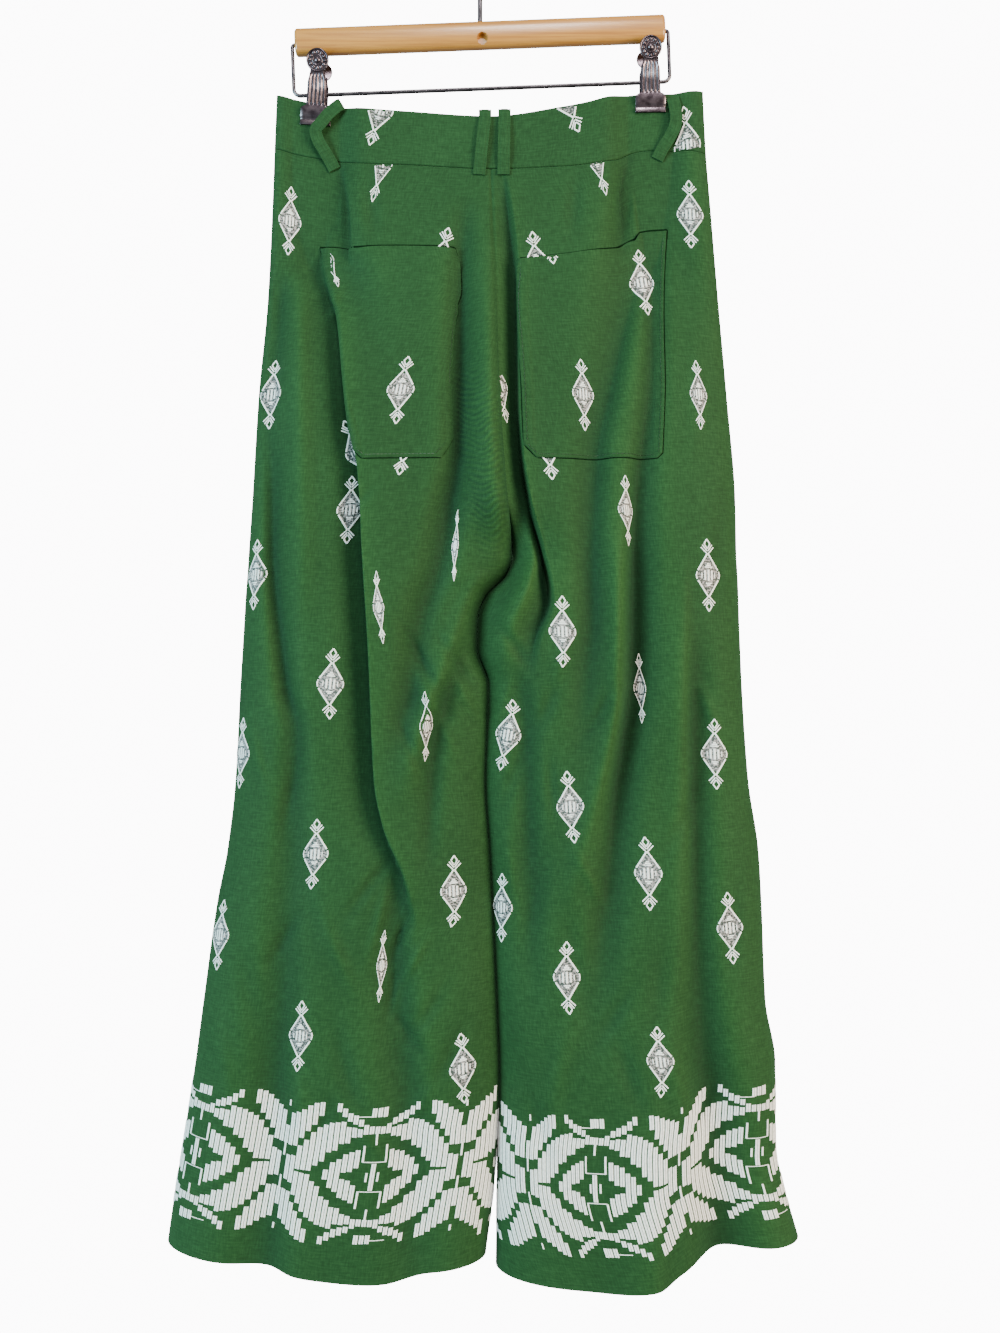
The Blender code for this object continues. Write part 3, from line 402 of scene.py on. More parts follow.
def rippled(x, height):
    dz = height - ripples["z"]
    dx = x - ripples["x"] + ripples["lean"] * dz
    mask = bell(dx, ripples["halfWidth"], 4) * bell(dz, ripples["halfHeight"], 4)
    bent = dz - ripples["slant"] * np.sqrt(dx ** 2 + ripples["peak"] ** 2)
    wander = sum(size * np.sin(dx * alongX + dz * alongZ) for size, alongX, alongZ in ripples["wander"])
    return mask * np.sin(bent * 2 * math.pi / ripples["pitch"] + wander)


def clothPoints(side, face, across, height):
    # the outer face before the sag of waist and hem, across from 0 at the middle to 1 at the side seam
    inner = read(outline, "middle", height) + side * read(outline, "halfGap", height)
    outer = read(outline, "left" if side < 0 else "right", height)
    leg = ease(cloth["crotchStart"], cloth["crotch"], height)
    torsoShare = np.sin(across * math.pi / 2)
    legShare = (1 - np.cos(across * math.pi)) / 2
    share = torsoShare + (legShare - torsoShare) * ease(cloth["pocketFoot"], cloth["inseamColumns"], height)
    x = inner + (outer - inner) * share
    torsoRound = np.sqrt(np.clip(1 - share ** cloth["torsoPower"], 0, 1))
    legRound = np.sqrt(np.clip(1 - np.abs(2 * share - 1) ** cloth["legPower"], 0, 1))
    full = torsoRound + (legRound - torsoRound) * leg
    depth = read(outline, "back" if face < 0 else "front", height)
    out, aside = foldShift(face, x, height)
    settled = ease(0, 0.5, full)
    out = depth * full * (1 - clipPress(x, height)) + (out + smallShift(face, x, height)) * settled
    groove = seatSeam["deep"] * bell(x - inner, seatSeam["reach"]) * (1 - leg)
    out = out - groove * (height < cloth["waist"] + 1e-6) * (out > seatSeam["from"])
    fromEdge = np.minimum(np.abs(outer - x), np.where(leg > 0, np.abs(x - inner), 1.0))
    nearEdge = np.clip(1 - fromEdge / cloth["edgeRadius"], 0, 1)
    least = cloth["leastOut"] * (1 - quarterRound(nearEdge))
    return np.stack([x + aside * settled, face * (halfSeam + np.maximum(out, least)), height], axis=-1)


def panelPoints(side, face, across, height):
    points = clothPoints(side, face, across, height)
    top = 1 - ease(cloth["waist"], cloth["waist"] - cloth["sagFade"], height)
    low = ease(cloth["hem"] + cloth["dropFade"], cloth["hem"], height)
    x = points[..., 0]
    points[..., 2] += (read(waistLine, "seam", x) - cloth["waist"] - halfSeam) * top
    points[..., 2] += (read(hemLine, "z", x) - cloth["hem"]) * low
    turned = np.clip(1 - (cloth["waist"] - height) / waistTurn["tall"], 0, 1)
    into = waistTurn["into"] * quarterRound(turned)
    into = into + waistTurn["behind"] * (height > cloth["waist"] - waistTurn["reach"])
    points[..., 1] = face * np.maximum(face * points[..., 1] - into, halfSeam)
    return points


def bandPoints(side, face, across, down):
    # down runs from 0 at the band's top edge to 1 at the waist seam
    nominal = cloth["bandTop"] + (cloth["waist"] - cloth["bandTop"]) * down
    points = clothPoints(side, face, across, nominal)
    x = points[..., 0]
    top, low = read(waistLine, "top", x), read(waistLine, "seam", x) + halfSeam
    points[..., 2] = top + (low - top) * down
    return points


# A sheet holds its grid of points, its normals, and its cloth coordinates: u along a row
# from the side seam, v down from the top, both in metres of flat cloth

def spreadColumns(makeRow, heights, columns, bendWeight=0.0035):
    # columns evenly apart along the cloth, and closer where it bends
    dense = np.linspace(0, 1, 1201)
    acrossGrid, heightGrid = np.meshgrid(dense, heights)
    points = makeRow(acrossGrid, heightGrid)
    step = np.diff(points[..., :2], axis=1)
    length = lengths(step)
    bend = np.zeros_like(length)
    bend[:, 1:] = lengths(np.diff(unit(step), axis=1))
    bend = sum(np.roll(bend, k, axis=1) for k in range(-12, 13)) / 25  # spread over the neighbours
    bend = sum(np.roll(bend, k, axis=0) for k in (-2, -1, 0, 1, 2)) / 5
    total = runningSum(length + bendWeight * bend)
    total /= total[:, -1:]
    even = np.linspace(0, 1, columns + 1)
    return np.array([np.interp(even, row, dense) for row in total])


def sheetOf(points, outward, fromEnd, v):
    normals = unit(np.cross(np.gradient(points, axis=1), np.gradient(points, axis=0)))
    if normals[..., 1].mean() * outward < 0:
        normals = -normals
    u = runningSum(lengths(np.diff(points, axis=1)))
    if fromEnd:
        u = u[:, -1:] - u
    v = np.broadcast_to(v[:, None], u.shape)
    return levelMap({"points": points, "normals": normals, "u": u, "v": v})


def shell(name, sheet, wall, material, face=0, lift=0.0, coarse=4):
    # a closed thin shell on a sheet: the outer face, an inner one with fewer rows, the rim between
    outer = sheet["points"] + sheet["normals"] * lift
    rows, columns = outer.shape[:2]
    picked = np.unique(np.append(np.arange(0, rows, coarse), rows - 1))
    inner = (outer - sheet["normals"] * wall)[picked]
    if face:  # back and front keep to their own side of the side seams
        inner[..., 1] = face * np.maximum(face * inner[..., 1], halfSeam)
    front = np.arange(rows * columns).reshape(rows, columns)
    back = front.size + np.arange(inner[..., 0].size).reshape(len(picked), columns)
    faces = []
    for grid, turned in ((front, False), (back, True)):
        corners = grid[:-1, :-1], grid[1:, :-1], grid[1:, 1:], grid[:-1, 1:]
        quads = np.stack(corners, axis=-1).reshape(-1, 4)
        faces += (quads[:, ::-1] if turned else quads).tolist()
    for row, end in ((0, 0), (-1, -1)):
        for j in range(columns - 1):
            faces.append([front[row, j], front[row, j + 1], back[end, j + 1], back[end, j]])
    for column in (0, -1):
        for k in range(len(picked) - 1):
            along = front[picked[k]:picked[k + 1] + 1, column].tolist()
            faces.append(along + [back[k + 1, column], back[k, column]])
    flat = np.stack([sheet["u"], -sheet["v"]], axis=-1)
    flat = np.concatenate([flat.reshape(-1, 2), flat[picked].reshape(-1, 2)])
    points = np.concatenate([outer.reshape(-1, 3), inner.reshape(-1, 3)])
    piece = meshOf(name, points, faces, material, flat)
    # the hollow measure goes onto the mesh, for the painted shade in hollows and painted light on ridges of
    # the cloth material
    low = sheet.get("hollow", np.zeros((rows, columns)))
    low = np.concatenate([low.ravel(), low[picked].ravel()]).astype(np.float32)
    piece.data.attributes.new("hollow", "FLOAT", "POINT").data.foreach_set("value", low)
    return piece


def meshOf(name, points, faces, material, flat=None, smoothAngle=50):
    mesh = bpy.data.meshes.new(name)
    mesh.from_pydata(points.tolist(), [], [[int(i) for i in face] for face in faces])
    if flat is not None:
        uv = mesh.uv_layers.new(name="cloth")
        corners = np.zeros(len(mesh.loops), int)
        mesh.loops.foreach_get("vertex_index", corners)
        uv.data.foreach_set("uv", flat[corners].astype(np.float32).ravel())
    shape = bmesh.new()
    shape.from_mesh(mesh)
    bmesh.ops.recalc_face_normals(shape, faces=shape.faces)
    shape.to_mesh(mesh)
    shape.free()
    mesh.shade_smooth()
    mesh.set_sharp_from_angle(angle=math.radians(smoothAngle))
    mesh.materials.append(material)
    piece = bpy.data.objects.new(name, mesh)
    bpy.context.scene.collection.objects.link(piece)
    return piece


def levelMap(sheet, step=0.0008):
    # a sheet read again at even steps of u, so that any place on it can be looked up
    u = np.arange(0, sheet["u"].max() + step, step)
    values = np.concatenate([sheet["points"], sheet["normals"]], axis=-1)
    level = np.empty((len(values), len(u), 6))
    for i, (row, at) in enumerate(zip(values, sheet["u"])):
        order = slice(None, None, -1 if at[0] > at[-1] else 1)
        for k in range(6):
            level[i, :, k] = np.interp(u, at[order], row[order, k])
    sheet["level"], sheet["step"] = level, step
    sheet["ends"] = sheet["u"].max(axis=1)
    return sheet


def onCloth(sheet, u, v):
    # the points and normals at cloth coordinates, and which of them lie on the sheet
    rows = sheet["v"][:, 0]
    i = np.clip(np.searchsorted(rows, v, side="right") - 1, 0, len(rows) - 2)
    t = np.clip((v - rows[i]) / (rows[i + 1] - rows[i]), 0, 1)[..., None]
    place = np.clip(u / sheet["step"], 0, sheet["level"].shape[1] - 1.001)
    j = place.astype(int)
    s = (place - j)[..., None]
    level = sheet["level"]
    value = (level[i, j] * (1 - s) + level[i, j + 1] * s) * (1 - t)
    value = value + (level[i + 1, j] * (1 - s) + level[i + 1, j + 1] * s) * t
    end = sheet["ends"][i] * (1 - t[..., 0]) + sheet["ends"][i + 1] * t[..., 0]
    on = (u >= 0) & (u <= end) & (v >= rows[0]) & (v <= rows[-1])
    return value[..., :3], value[..., 3:], on


def asSeen(points):
    # where points show on the plane between back and front, looked at from the camera
    atX, atY, atZ = studio["camera"]
    near = atY / (atY - points[..., 1])
    return atX + (points[..., 0] - atX) * near, atZ + (points[..., 2] - atZ) * near


def clothAt(sheet, x, z):
    # the cloth coordinates of the place that shows at x and z, on the outermost layer there
    points = sheet["points"]
    seenX, seenZ = asSeen(points)
    off = np.hypot(seenX - x, seenZ - z)
    near = off < off.min() + 0.003
    row, column = np.unravel_index(np.argmax(np.where(near, np.abs(points[..., 1]) - off, -1)), off.shape)
    return float(sheet["u"][row, column]), float(sheet["v"][row, column])


def hollows(sheet, reach=0.022, full=0.0065):
    # from -1 in the hollows of a sheet to 1 on its ridges, against the cloth around them; the cloth
    # material paints shade in the hollows and light on the ridges from it
    out = np.abs(sheet["points"][..., 1])
    spread = max(1, int(reach / np.abs(np.diff(sheet["u"], axis=1)).mean()))
    total = np.cumsum(np.pad(out, ((0, 0), (spread + 1, spread)), mode="edge"), axis=1)
    mean = (total[:, 2 * spread + 1:] - total[:, :-2 * spread - 1]) / (2 * spread + 1)
    return np.clip((out - mean[:, :out.shape[1]]) / full, -1, 1)


def keep(piece, slot, *nodes):
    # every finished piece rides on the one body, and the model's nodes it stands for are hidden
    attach(piece, "root")
    if nodes:
        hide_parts(*nodes)
    return piece


# Materials

def newMaterial(name):
    material = bpy.data.materials.new(name)
    material.use_nodes = True
    tree = material.node_tree
    return material, tree, tree.nodes["Principled BSDF"]


def fill(tree, node, inputs):
    # links what comes from another node, and sets the rest on the sockets
    for key, value in inputs.items():
        if isinstance(value, bpy.types.NodeSocket):
            tree.links.new(value, node.inputs[key])
        else:
            node.inputs[key].default_value = value


def addNode(tree, kind, inputs=None, **settings):
    node = tree.nodes.new(kind)
    for key, value in settings.items():
        setattr(node, key, value)
    fill(tree, node, inputs or {})
    return node


def calculate(tree, operation, *values):
    return addNode(tree, "ShaderNodeMath", dict(enumerate(values)), operation=operation).outputs[0]


def blend(tree, first, second, share):
    # this share of the first, and the rest of the second
    return calculate(tree, "ADD", calculate(tree, "MULTIPLY", first, share),
                     calculate(tree, "MULTIPLY", second, 1 - share))


def noiseOn(tree, place, scale, detail=2.0, roughness=0.5, distortion=0.0):
    return addNode(tree, "ShaderNodeTexNoise", {
        "Vector": place, "Scale": scale, "Detail": detail, "Roughness": roughness, "Distortion": distortion,
    }).outputs["Fac"]


def colourRamp(tree, value, *stops):
    # each stop is a place and a colour
    ramp = addNode(tree, "ShaderNodeValToRGB", {"Fac": value})
    elements = ramp.color_ramp.elements
    for i, (place, colour) in enumerate(stops):
        element = elements[i] if i < 2 else elements.new(place)
        element.position, element.color = place, colour
    return ramp.outputs[0]


def bumpOf(tree, height, strength, distance):
    inputs = {"Height": height, "Strength": strength, "Distance": distance}
    return addNode(tree, "ShaderNodeBump", inputs).outputs[0]


def newGroup(name, inputs, outputs):
    group = bpy.data.node_groups.new(name, "ShaderNodeTree")
    for label, kind, default in inputs:
        socket = group.interface.new_socket(label, in_out="INPUT", socket_type=kind)
        if default is not None:
            socket.default_value = default
    for label, kind in outputs:
        group.interface.new_socket(label, in_out="OUTPUT", socket_type=kind)
    return group, group.nodes.new("NodeGroupInput"), group.nodes.new("NodeGroupOutput")


weaveLook = {
    "wanderScale": 220.0, "wander": 0.0011,     # the threads' own unevenness
    "streaks": ((760.0, 120.0, 1.0), (90.0, 680.0, 1.0)),
    "crossingHeight": 0.35, "crossingTone": 0.06,
}


def weaveGroup():
    # a plain weave with slubs: reads flat cloth coordinates, gives a height and a tone around 0.5
    group, given, made = newGroup("plainWeave", (
        ("Vector", "NodeSocketVector", None),
        ("Thread", "NodeSocketFloat", 0.0006),
        ("Slub", "NodeSocketFloat", 0.5),
    ), (("Height", "NodeSocketFloat"), ("Tone", "NodeSocketFloat")))
    place, thread = given.outputs["Vector"], given.outputs["Thread"]
    wander = noiseOn(group, place, weaveLook["wanderScale"], roughness=0.6)
    shift = calculate(group, "MULTIPLY", wander, weaveLook["wander"])
    axes = addNode(group, "ShaderNodeSeparateXYZ", {"Vector": place})
    waves, streaks = [], []
    for i in (0, 1):
        threads = calculate(group, "DIVIDE", calculate(group, "ADD", axes.outputs[i], shift), thread)
        waves.append(calculate(group, "SINE", calculate(group, "MULTIPLY", threads, math.pi)))
    crossing = calculate(group, "MULTIPLY", *waves)
    for scale in weaveLook["streaks"]:
        placed = addNode(group, "ShaderNodeMapping", {"Vector": place, "Scale": scale})
        streaks.append(noiseOn(group, placed.outputs[0], 1.0, 3.0, 0.62))
    slubs = calculate(group, "ADD", *streaks)
    fill(group, made, {
        "Height": calculate(group, "ADD",
                            calculate(group, "MULTIPLY", crossing, weaveLook["crossingHeight"]),
                            calculate(group, "MULTIPLY", slubs, given.outputs["Slub"])),
        "Tone": calculate(group, "ADD",
                          calculate(group, "MULTIPLY", slubs, 0.5),
                          calculate(group, "MULTIPLY", crossing, weaveLook["crossingTone"])),
    })
    return group


linenLook = {
    "thread": 0.00062,
    "dark": (0.0058, 0.0290, 0.0070, 1),
    "middle": (0.0095, 0.0410, 0.0108, 1),
    "light": (0.0150, 0.0560, 0.0165, 1),
    "stops": (0.39, 0.51, 0.63),     # where those three lie
    "cloudScale": 9.0,
    "weaveShare": 0.85,
    "level": (0.88, 0.91, 0.90),     # the colour is multiplied by this plus the hollow measure times the next: painted shade, darker and bluer in the hollows, and painted light, lighter and warmer on the ridges
    "hollowShadeRidgeLight": (0.48, 0.34, 0.20),
    "roughness": 0.78,
    "specular": 0.14,
    "sheen": 0.10,
    "sheenRoughness": 0.45,
    "sheenTint": (0.40, 0.90, 0.45, 1),
    "weaveDepth": 0.00013,
}


def linen(weave):
    material, tree, shader = newMaterial("greenLinen")
    flat = addNode(tree, "ShaderNodeUVMap", uv_map="cloth").outputs[0]
    threads = addNode(tree, "ShaderNodeGroup", node_tree=weave)
    fill(tree, threads, {"Vector": flat, "Thread": linenLook["thread"]})
    cloud = noiseOn(tree, flat, linenLook["cloudScale"], 4.0, 0.55)
    mixed = blend(tree, threads.outputs["Tone"], cloud, linenLook["weaveShare"])
    colours = (linenLook[name] for name in ("dark", "middle", "light"))
    green = colourRamp(tree, mixed, *zip(linenLook["stops"], colours))
    # painted shade and light: the hollow measure darkens and cools the green in hollows, and lightens and
    # warms it on ridges
    low = addNode(tree, "ShaderNodeAttribute", attribute_name="hollow").outputs["Fac"]
    shade = addNode(tree, "ShaderNodeVectorMath", {0: low, 1: linenLook["hollowShadeRidgeLight"], 2: linenLook["level"]},
                    operation="MULTIPLY_ADD")
    paintedShadeGreen = addNode(tree, "ShaderNodeVectorMath", {0: green, 1: shade.outputs[0]}, operation="MULTIPLY")
    fill(tree, shader, {
        "Base Color": paintedShadeGreen.outputs[0],
        "Roughness": linenLook["roughness"],
        "Specular IOR Level": linenLook["specular"],
        "Sheen Weight": linenLook["sheen"],
        "Sheen Roughness": linenLook["sheenRoughness"],
        "Sheen Tint": linenLook["sheenTint"],
        "Normal": bumpOf(tree, threads.outputs["Height"], 0.55, linenLook["weaveDepth"]),
    })
    return material


threadLook = {
    "pitch": 0.0006,          # of the threads laid side by side in a stitch
    "white": (0.88, 0.87, 0.845, 1),
    "shade": (0.68, 0.67, 0.655, 1),
    "ground": (0.30, 0.27, 0.275, 1),
    "groundDark": (0.020, 0.032, 0.026, 1),
    # painted shade: the grey under each pair of border bars, which shows between them as the shadow between
    # their threads
    "barGapShade": (0.17, 0.155, 0.16, 1),
    "green": (0.009, 0.034, 0.010, 1),
    # painted shadow along the pocket edges
    "edge": (0.003, 0.011, 0.004, 1),
    "roughness": 0.48,
    "bump": (0.6, 0.00012),
}


def threadMaterial(name, light, dark, speck, low=0.35, high=0.65, gloss=0.35):
    # threads laid across each stitch, whose flat coordinates run along it
    material, tree, shader = newMaterial(name)
    flat = addNode(tree, "ShaderNodeUVMap", uv_map="cloth").outputs[0]
    noise = noiseOn(tree, flat, speck)
    axes = addNode(tree, "ShaderNodeSeparateXYZ", {"Vector": flat})
    turns = calculate(tree, "MULTIPLY", axes.outputs[0], 2 * math.pi / threadLook["pitch"])
    height = calculate(tree, "ADD", calculate(tree, "SINE", turns), noise)
    fill(tree, shader, {
        "Base Color": colourRamp(tree, noise, (low, dark), (high, light)),
        "Roughness": threadLook["roughness"],
        "Specular IOR Level": gloss,
        "Normal": bumpOf(tree, height, *threadLook["bump"]),
    })
    return material


def dyed(name, light, dark, *rest, **gloss):
    return threadMaterial(name, threadLook[light], threadLook[dark], *rest, **gloss)


greenLinen = linen(weaveGroup())
whiteThread = dyed("whiteThread", "white", "shade", 420.0)
groundThread = dyed("groundThread", "ground", "groundDark", 460.0, 0.46, 0.58)
barGapShadeThread = dyed("barGapShadeThread", "barGapShade", "groundDark", 500.0, 0.2, 0.5)
greenThread = threadMaterial("greenThread", threadLook["green"], linenLook["dark"], 600.0)
# painted shadow: a flat dark green without gloss, for the strips along the pocket edges
pocketShadowPaint = dyed("paintedPocketShadow", "edge", "edge", 600.0, gloss=0.0)
print("materials made")


# The leg panels

panelLook = {
    "backColumns": 150,
    "frontColumns": 96,
    "backSteps": (0.0042, 0.0014),   # between rows, away from the ripples and in them
    "frontStep": 0.0060,
    "rippled": (-0.385, -0.640),
    "seamRows": (0.0003, 0.0008, 0.0016),    # for the seam below the band
}


def rowHeights(face):
    waist, hem = cloth["waist"], cloth["hem"]
    if face > 0:
        return np.linspace(waist, hem, round((waist - hem) / panelLook["frontStep"]) + 1)
    coarse, fine = panelLook["backSteps"]
    top, low = panelLook["rippled"]
    parts = ((waist, top, coarse), (top, low, fine), (low, hem, coarse))
    heights = [np.linspace(a, b, round((a - b) / step) + 1)[:-1] for a, b, step in parts]
    heights.append(waist - np.array(panelLook["seamRows"]))
    return np.append(np.sort(np.concatenate(heights))[::-1], hem)


def panelSheet(side, face):
    heights = rowHeights(face)
    columns = panelLook["backColumns" if face < 0 else "frontColumns"]
    across = spreadColumns(lambda a, h: clothPoints(side, face, a, h), heights, columns)
    points = panelPoints(side, face, across, np.broadcast_to(heights[:, None], across.shape))
    return sheetOf(points, face, True, -heights)


panels = {}
for face, faceWord in ((-1, "back"), (1, "front")):
    for side, sideWord in ((-1, "left"), (1, "right")):
        name = f"{faceWord}_{sideWord}"
        panels[name] = panelSheet(side, face)
        # painted shade and light: each panel's hollow measure, and on the back the crotch ripples painted
        # into it, darker in their troughs and lighter on their crests
        panels[name]["hollow"] = hollows(panels[name])
        if face < 0:
            points = panels[name]["points"]
            panels[name]["hollow"] += ripples["shade"] * rippled(points[..., 0], points[..., 2])
        piece = shell(f"cloth_{name}", panels[name], cloth["wall"], greenLinen, face)
        keep(piece, "green_cloth", name)
        print(name, len(piece.data.polygons), "faces")


# The waistband

bandLook = {
    "columns": 110, "roundEdge": 0.0013, "roundReach": 0.05, "turnUnder": 0.0011, "turnReach": 0.04,
    "tabColumns": 9, "tabFade": 12, "tabClear": 0.0012,
}
bandRows = np.concatenate([[0, 0.010, 0.022, 0.038, 0.060], np.linspace(0.09, 0.95, 21),
                           [0.965, 0.978, 0.988, 0.995, 1]])


def bandHalf(face, side):
    across = spreadColumns(lambda a, h: bandPoints(side, face, a, h), bandRows, bandLook["columns"])
    points = bandPoints(side, face, across, np.broadcast_to(bandRows[:, None], across.shape))
    turned = np.clip(1 - bandRows / bandLook["roundReach"], 0, 1)
    under = np.clip(1 - (1 - bandRows) / bandLook["turnReach"], 0, 1)
    into = bandLook["roundEdge"] * quarterRound(turned) + bandLook["turnUnder"] * quarterRound(under)
    points[..., 1] -= face * into[:, None]
    points[..., 1] = face * np.maximum(face * points[..., 1], halfSeam)
    return points


def bandSheet(face):
    halves = [bandHalf(face, -1)[:, ::-1], bandHalf(face, 1)[:, 1:]]
    height = (cloth["bandTop"] - cloth["waist"]) * bandRows
    return sheetOf(np.concatenate(halves, axis=1), face, False, height)


backBand = bandSheet(-1)
keep(shell("band_back", backBand, cloth["wall"], greenLinen, -1), "green_cloth", "waistband_back")


# Stitches and embroidery

roundStitch = np.array(((-0.5, -0.25), (-0.38, 0.7), (0.0, 1.0), (0.38, 0.7), (0.5, -0.25)))
flatStitch = np.array(((-0.5, -0.25), (-0.5, 1.0), (0.5, 1.0), (0.5, -0.25)))


def satin(name, strips, material, slot, rise=0.0004, profile=roundStitch, longest=0.0035):
    # strips are a sheet, its cloth coordinates at both ends, a width, how far off it, and a test
    points, faces, flats, start = [], [], [], 0
    sides = len(profile)
    for sheet, (u0, v0, u1, v1), width, lift, inside in strips:
        length = math.hypot(u1 - u0, v1 - v0)
        share = np.linspace(0, 1, max(1, math.ceil(length / longest)) + 1)[:, None]
        across = profile[:, 0] * width
        u = u0 + (u1 - u0) * share - (v1 - v0) / length * across
        v = v0 + (v1 - v0) * share + (u1 - u0) / length * across
        place, normal, on = onCloth(sheet, u, v)
        if inside:
            on &= inside(u, v)
        off = lift(u, v) if callable(lift) else lift
        place = place + normal * np.broadcast_to(off + profile[:, 1] * rise, u.shape)[..., None]
        along = share * length + 0.013 * (start % 977)  # so that no two stitches share their specks
        flat = np.stack(np.broadcast_arrays(along, across), axis=-1)
        good = np.flatnonzero(on.all(axis=1))
        for run in np.split(good, np.flatnonzero(np.diff(good) > 1) + 1):
            if len(run) < 2:
                continue
            index = start + np.arange(len(run) * sides).reshape(len(run), sides)
            start += index.size
            points.append(place[run].reshape(-1, 3))
            flats.append(flat[run].reshape(-1, 2))
            beside = np.roll(index, -1, axis=1)
            quads = np.stack([index[:-1], beside[:-1], beside[1:], index[1:]], axis=-1).reshape(-1, 4)
            faces += quads.tolist() + [index[0].tolist(), index[-1, ::-1].tolist()]
    if not faces:
        return None
    piece = meshOf(name, np.concatenate(points), faces, material, np.concatenate(flats), 35)
    return keep(piece, slot)


def within(corners):
    # tests whether cloth coordinates lie in a convex outline
    corners = np.array(corners)
    middle = corners.mean(axis=0)

    def test(u, v):
        inside = np.ones(np.shape(u), bool)
        for start, end in zip(corners, np.roll(corners, -1, axis=0)):
            edge = end - start
            side = edge[0] * (middle[1] - start[1]) - edge[1] * (middle[0] - start[0])
            inside &= (edge[0] * (v - start[1]) - edge[1] * (u - start[0])) * side > 0
        return inside

    return test


# The pockets: corners from the top left round to the lower left, as they show from behind
pocketLook = {
    "rows": 120, "columns": 92, "gap": 0.0003, "wall": 0.0009, "clear": 0.0002,
    "hem": 0.0004, "hemFrom": (0.0095, 0.0110), "mouthHem": 0.0003, "mouthHemFrom": (0.022, 0.024),
    "seam": 0.00025, "seamReach": 0.0008, "pucker": 0.00016, "puckerPitch": 0.0062, "puckerIn": 0.004,
    "mouthDeep": 0.030, "sag": 0.0006, "round": 0.0006, "roundReach": 0.0010,
    "stitchIn": 0.0030, "stitch": 0.0026, "skip": 0.0008, "stitchWide": 0.00065,
    # painted shadow: shade, mouthShade, mouthShadeUp, shadeOut and shadeEvery size and space the dark
    # strips along the pocket edges
    "shade": 0.0009, "mouthShade": 0.0020, "mouthShadeUp": 0.0012, "shadeOut": 0.0004, "shadeEvery": 4,
    "stepFrom": (0.775, 0.815),
}
pockets = {
    "left": {"corners": ((-0.1463, -0.2784), (-0.0232, -0.2787), (-0.0239, -0.4715), (-0.1170, -0.4705)),
             "cuts": (0.008, 0.020), "open": (0.0012, 0.0016), "step": 0.0, "on": "back_left"},
    "right": {"corners": ((0.0322, -0.2899), (0.1723, -0.2683), (0.1679, -0.4697), (0.0386, -0.4706)),
              "cuts": (0.012, 0.004), "open": (0.0034, 0.0016), "step": 0.0065, "on": "back_right"},
    "fly": {"corners": ((0.0125, -0.2120), (0.0440, -0.2110), (0.0440, -0.3650), (0.0175, -0.3800)),
            "cuts": (0.001, 0.012), "open": (0.0, 0.0), "step": 0.0, "on": "front_right"},
}


def pocketSize(made):
    corners = made["flat"]
    return np.linalg.norm(corners[1] - corners[0]), np.linalg.norm(corners[3] - corners[0])


def cutAway(made, s):
    # how much the cut lower corners take off a pocket's depth
    wide = pocketSize(made)[0]
    return np.clip(made["cuts"][0] - s * wide, 0, 1) + np.clip(made["cuts"][1] - (1 - s) * wide, 0, 1)


def pocketOff(made, s, t):
    # how far a pocket's face stands off the panel: its turned edges, stitching, pucker and mouth
    look = pocketLook
    wide, deep = pocketSize(made)
    edge = np.minimum(np.minimum(s, 1 - s) * wide, (1 - t) * deep - cutAway(made, s))
    down = t * deep
    turned = look["hem"] * (1 - ease(*look["hemFrom"], edge))
    turned = turned + look["mouthHem"] * (1 - ease(*look["mouthHemFrom"], down))
    seam = -look["seam"] * bell(edge - look["stitchIn"], look["seamReach"]) * (down > 0.002)
    pucker = look["pucker"] * np.sin(down / look["puckerPitch"] * 2 * math.pi)
    pucker = pucker * bell(edge - look["puckerIn"], look["puckerIn"])
    mouth = bell(down, look["mouthDeep"]) * np.sin(np.clip(s, 0, 1) * math.pi) ** 0.5
    opened = (made["open"][0] * (1 - s) + made["open"][1] * s) * mouth
    sag = look["sag"] * np.sin(s * 9.0 + t * 4.0) * np.sin(t * math.pi) * np.sin(s * math.pi)
    rounded = look["round"] * np.clip(1 - edge / look["roundReach"], 0, 1) ** 2
    return look["gap"] + look["wall"] + look["clear"] + turned + seam + pucker + opened + sag - rounded


def pocketLift(side):
    # pocketOff, but read by cloth coordinates
    made = pockets[side]
    corners = made["flat"]
    known = np.column_stack([corners, np.ones(4)])
    share = np.linalg.lstsq(known, np.array([(0, 0), (1, 0), (1, 1), (0, 1)]), rcond=None)[0]

    def lift(u, v):
        s = u * share[0, 0] + v * share[1, 0] + share[2, 0]
        t = u * share[0, 1] + v * share[1, 1] + share[2, 1]
        return pocketOff(made, s, t)

    return lift


def pocketSheet(side):
    made = pockets[side]
    panel = panels[made["on"]]
    made["flat"] = corners = np.array([clothAt(panel, x, z) for x, z in made["corners"]])
    s, t = np.meshgrid(*(np.linspace(0, 1, pocketLook[way] + 1) for way in ("columns", "rows")))
    t = t * (1 - cutAway(made, s) / pocketSize(made)[1])
    flat = ((1 - s) * (1 - t))[..., None] * corners[0] + (s * (1 - t))[..., None] * corners[1]
    flat = flat + (s * t)[..., None] * corners[2] + ((1 - s) * t)[..., None] * corners[3]
    flat[..., 1] -= made["step"] * ease(*pocketLook["stepFrom"], s) * (1 - t) ** 4
    points, normals, _ = onCloth(panel, flat[..., 0], flat[..., 1])
    points = points + normals * pocketOff(made, s, t)[..., None]
    sheet = {"points": points, "normals": normals, "u": flat[..., 0], "v": flat[..., 1]}
    # the pocket's hollow measure, for its painted shade and light
    sheet["hollow"] = hollows(sheet)
    return sheet


for side in pockets:
    pockets[side]["sheet"] = pocketSheet(side)
    piece = shell(f"patch_{side}", pockets[side]["sheet"], pocketLook["wall"], greenLinen)
    keep(piece, "green_cloth", "fly" if side == "fly" else f"pocket_{side}")


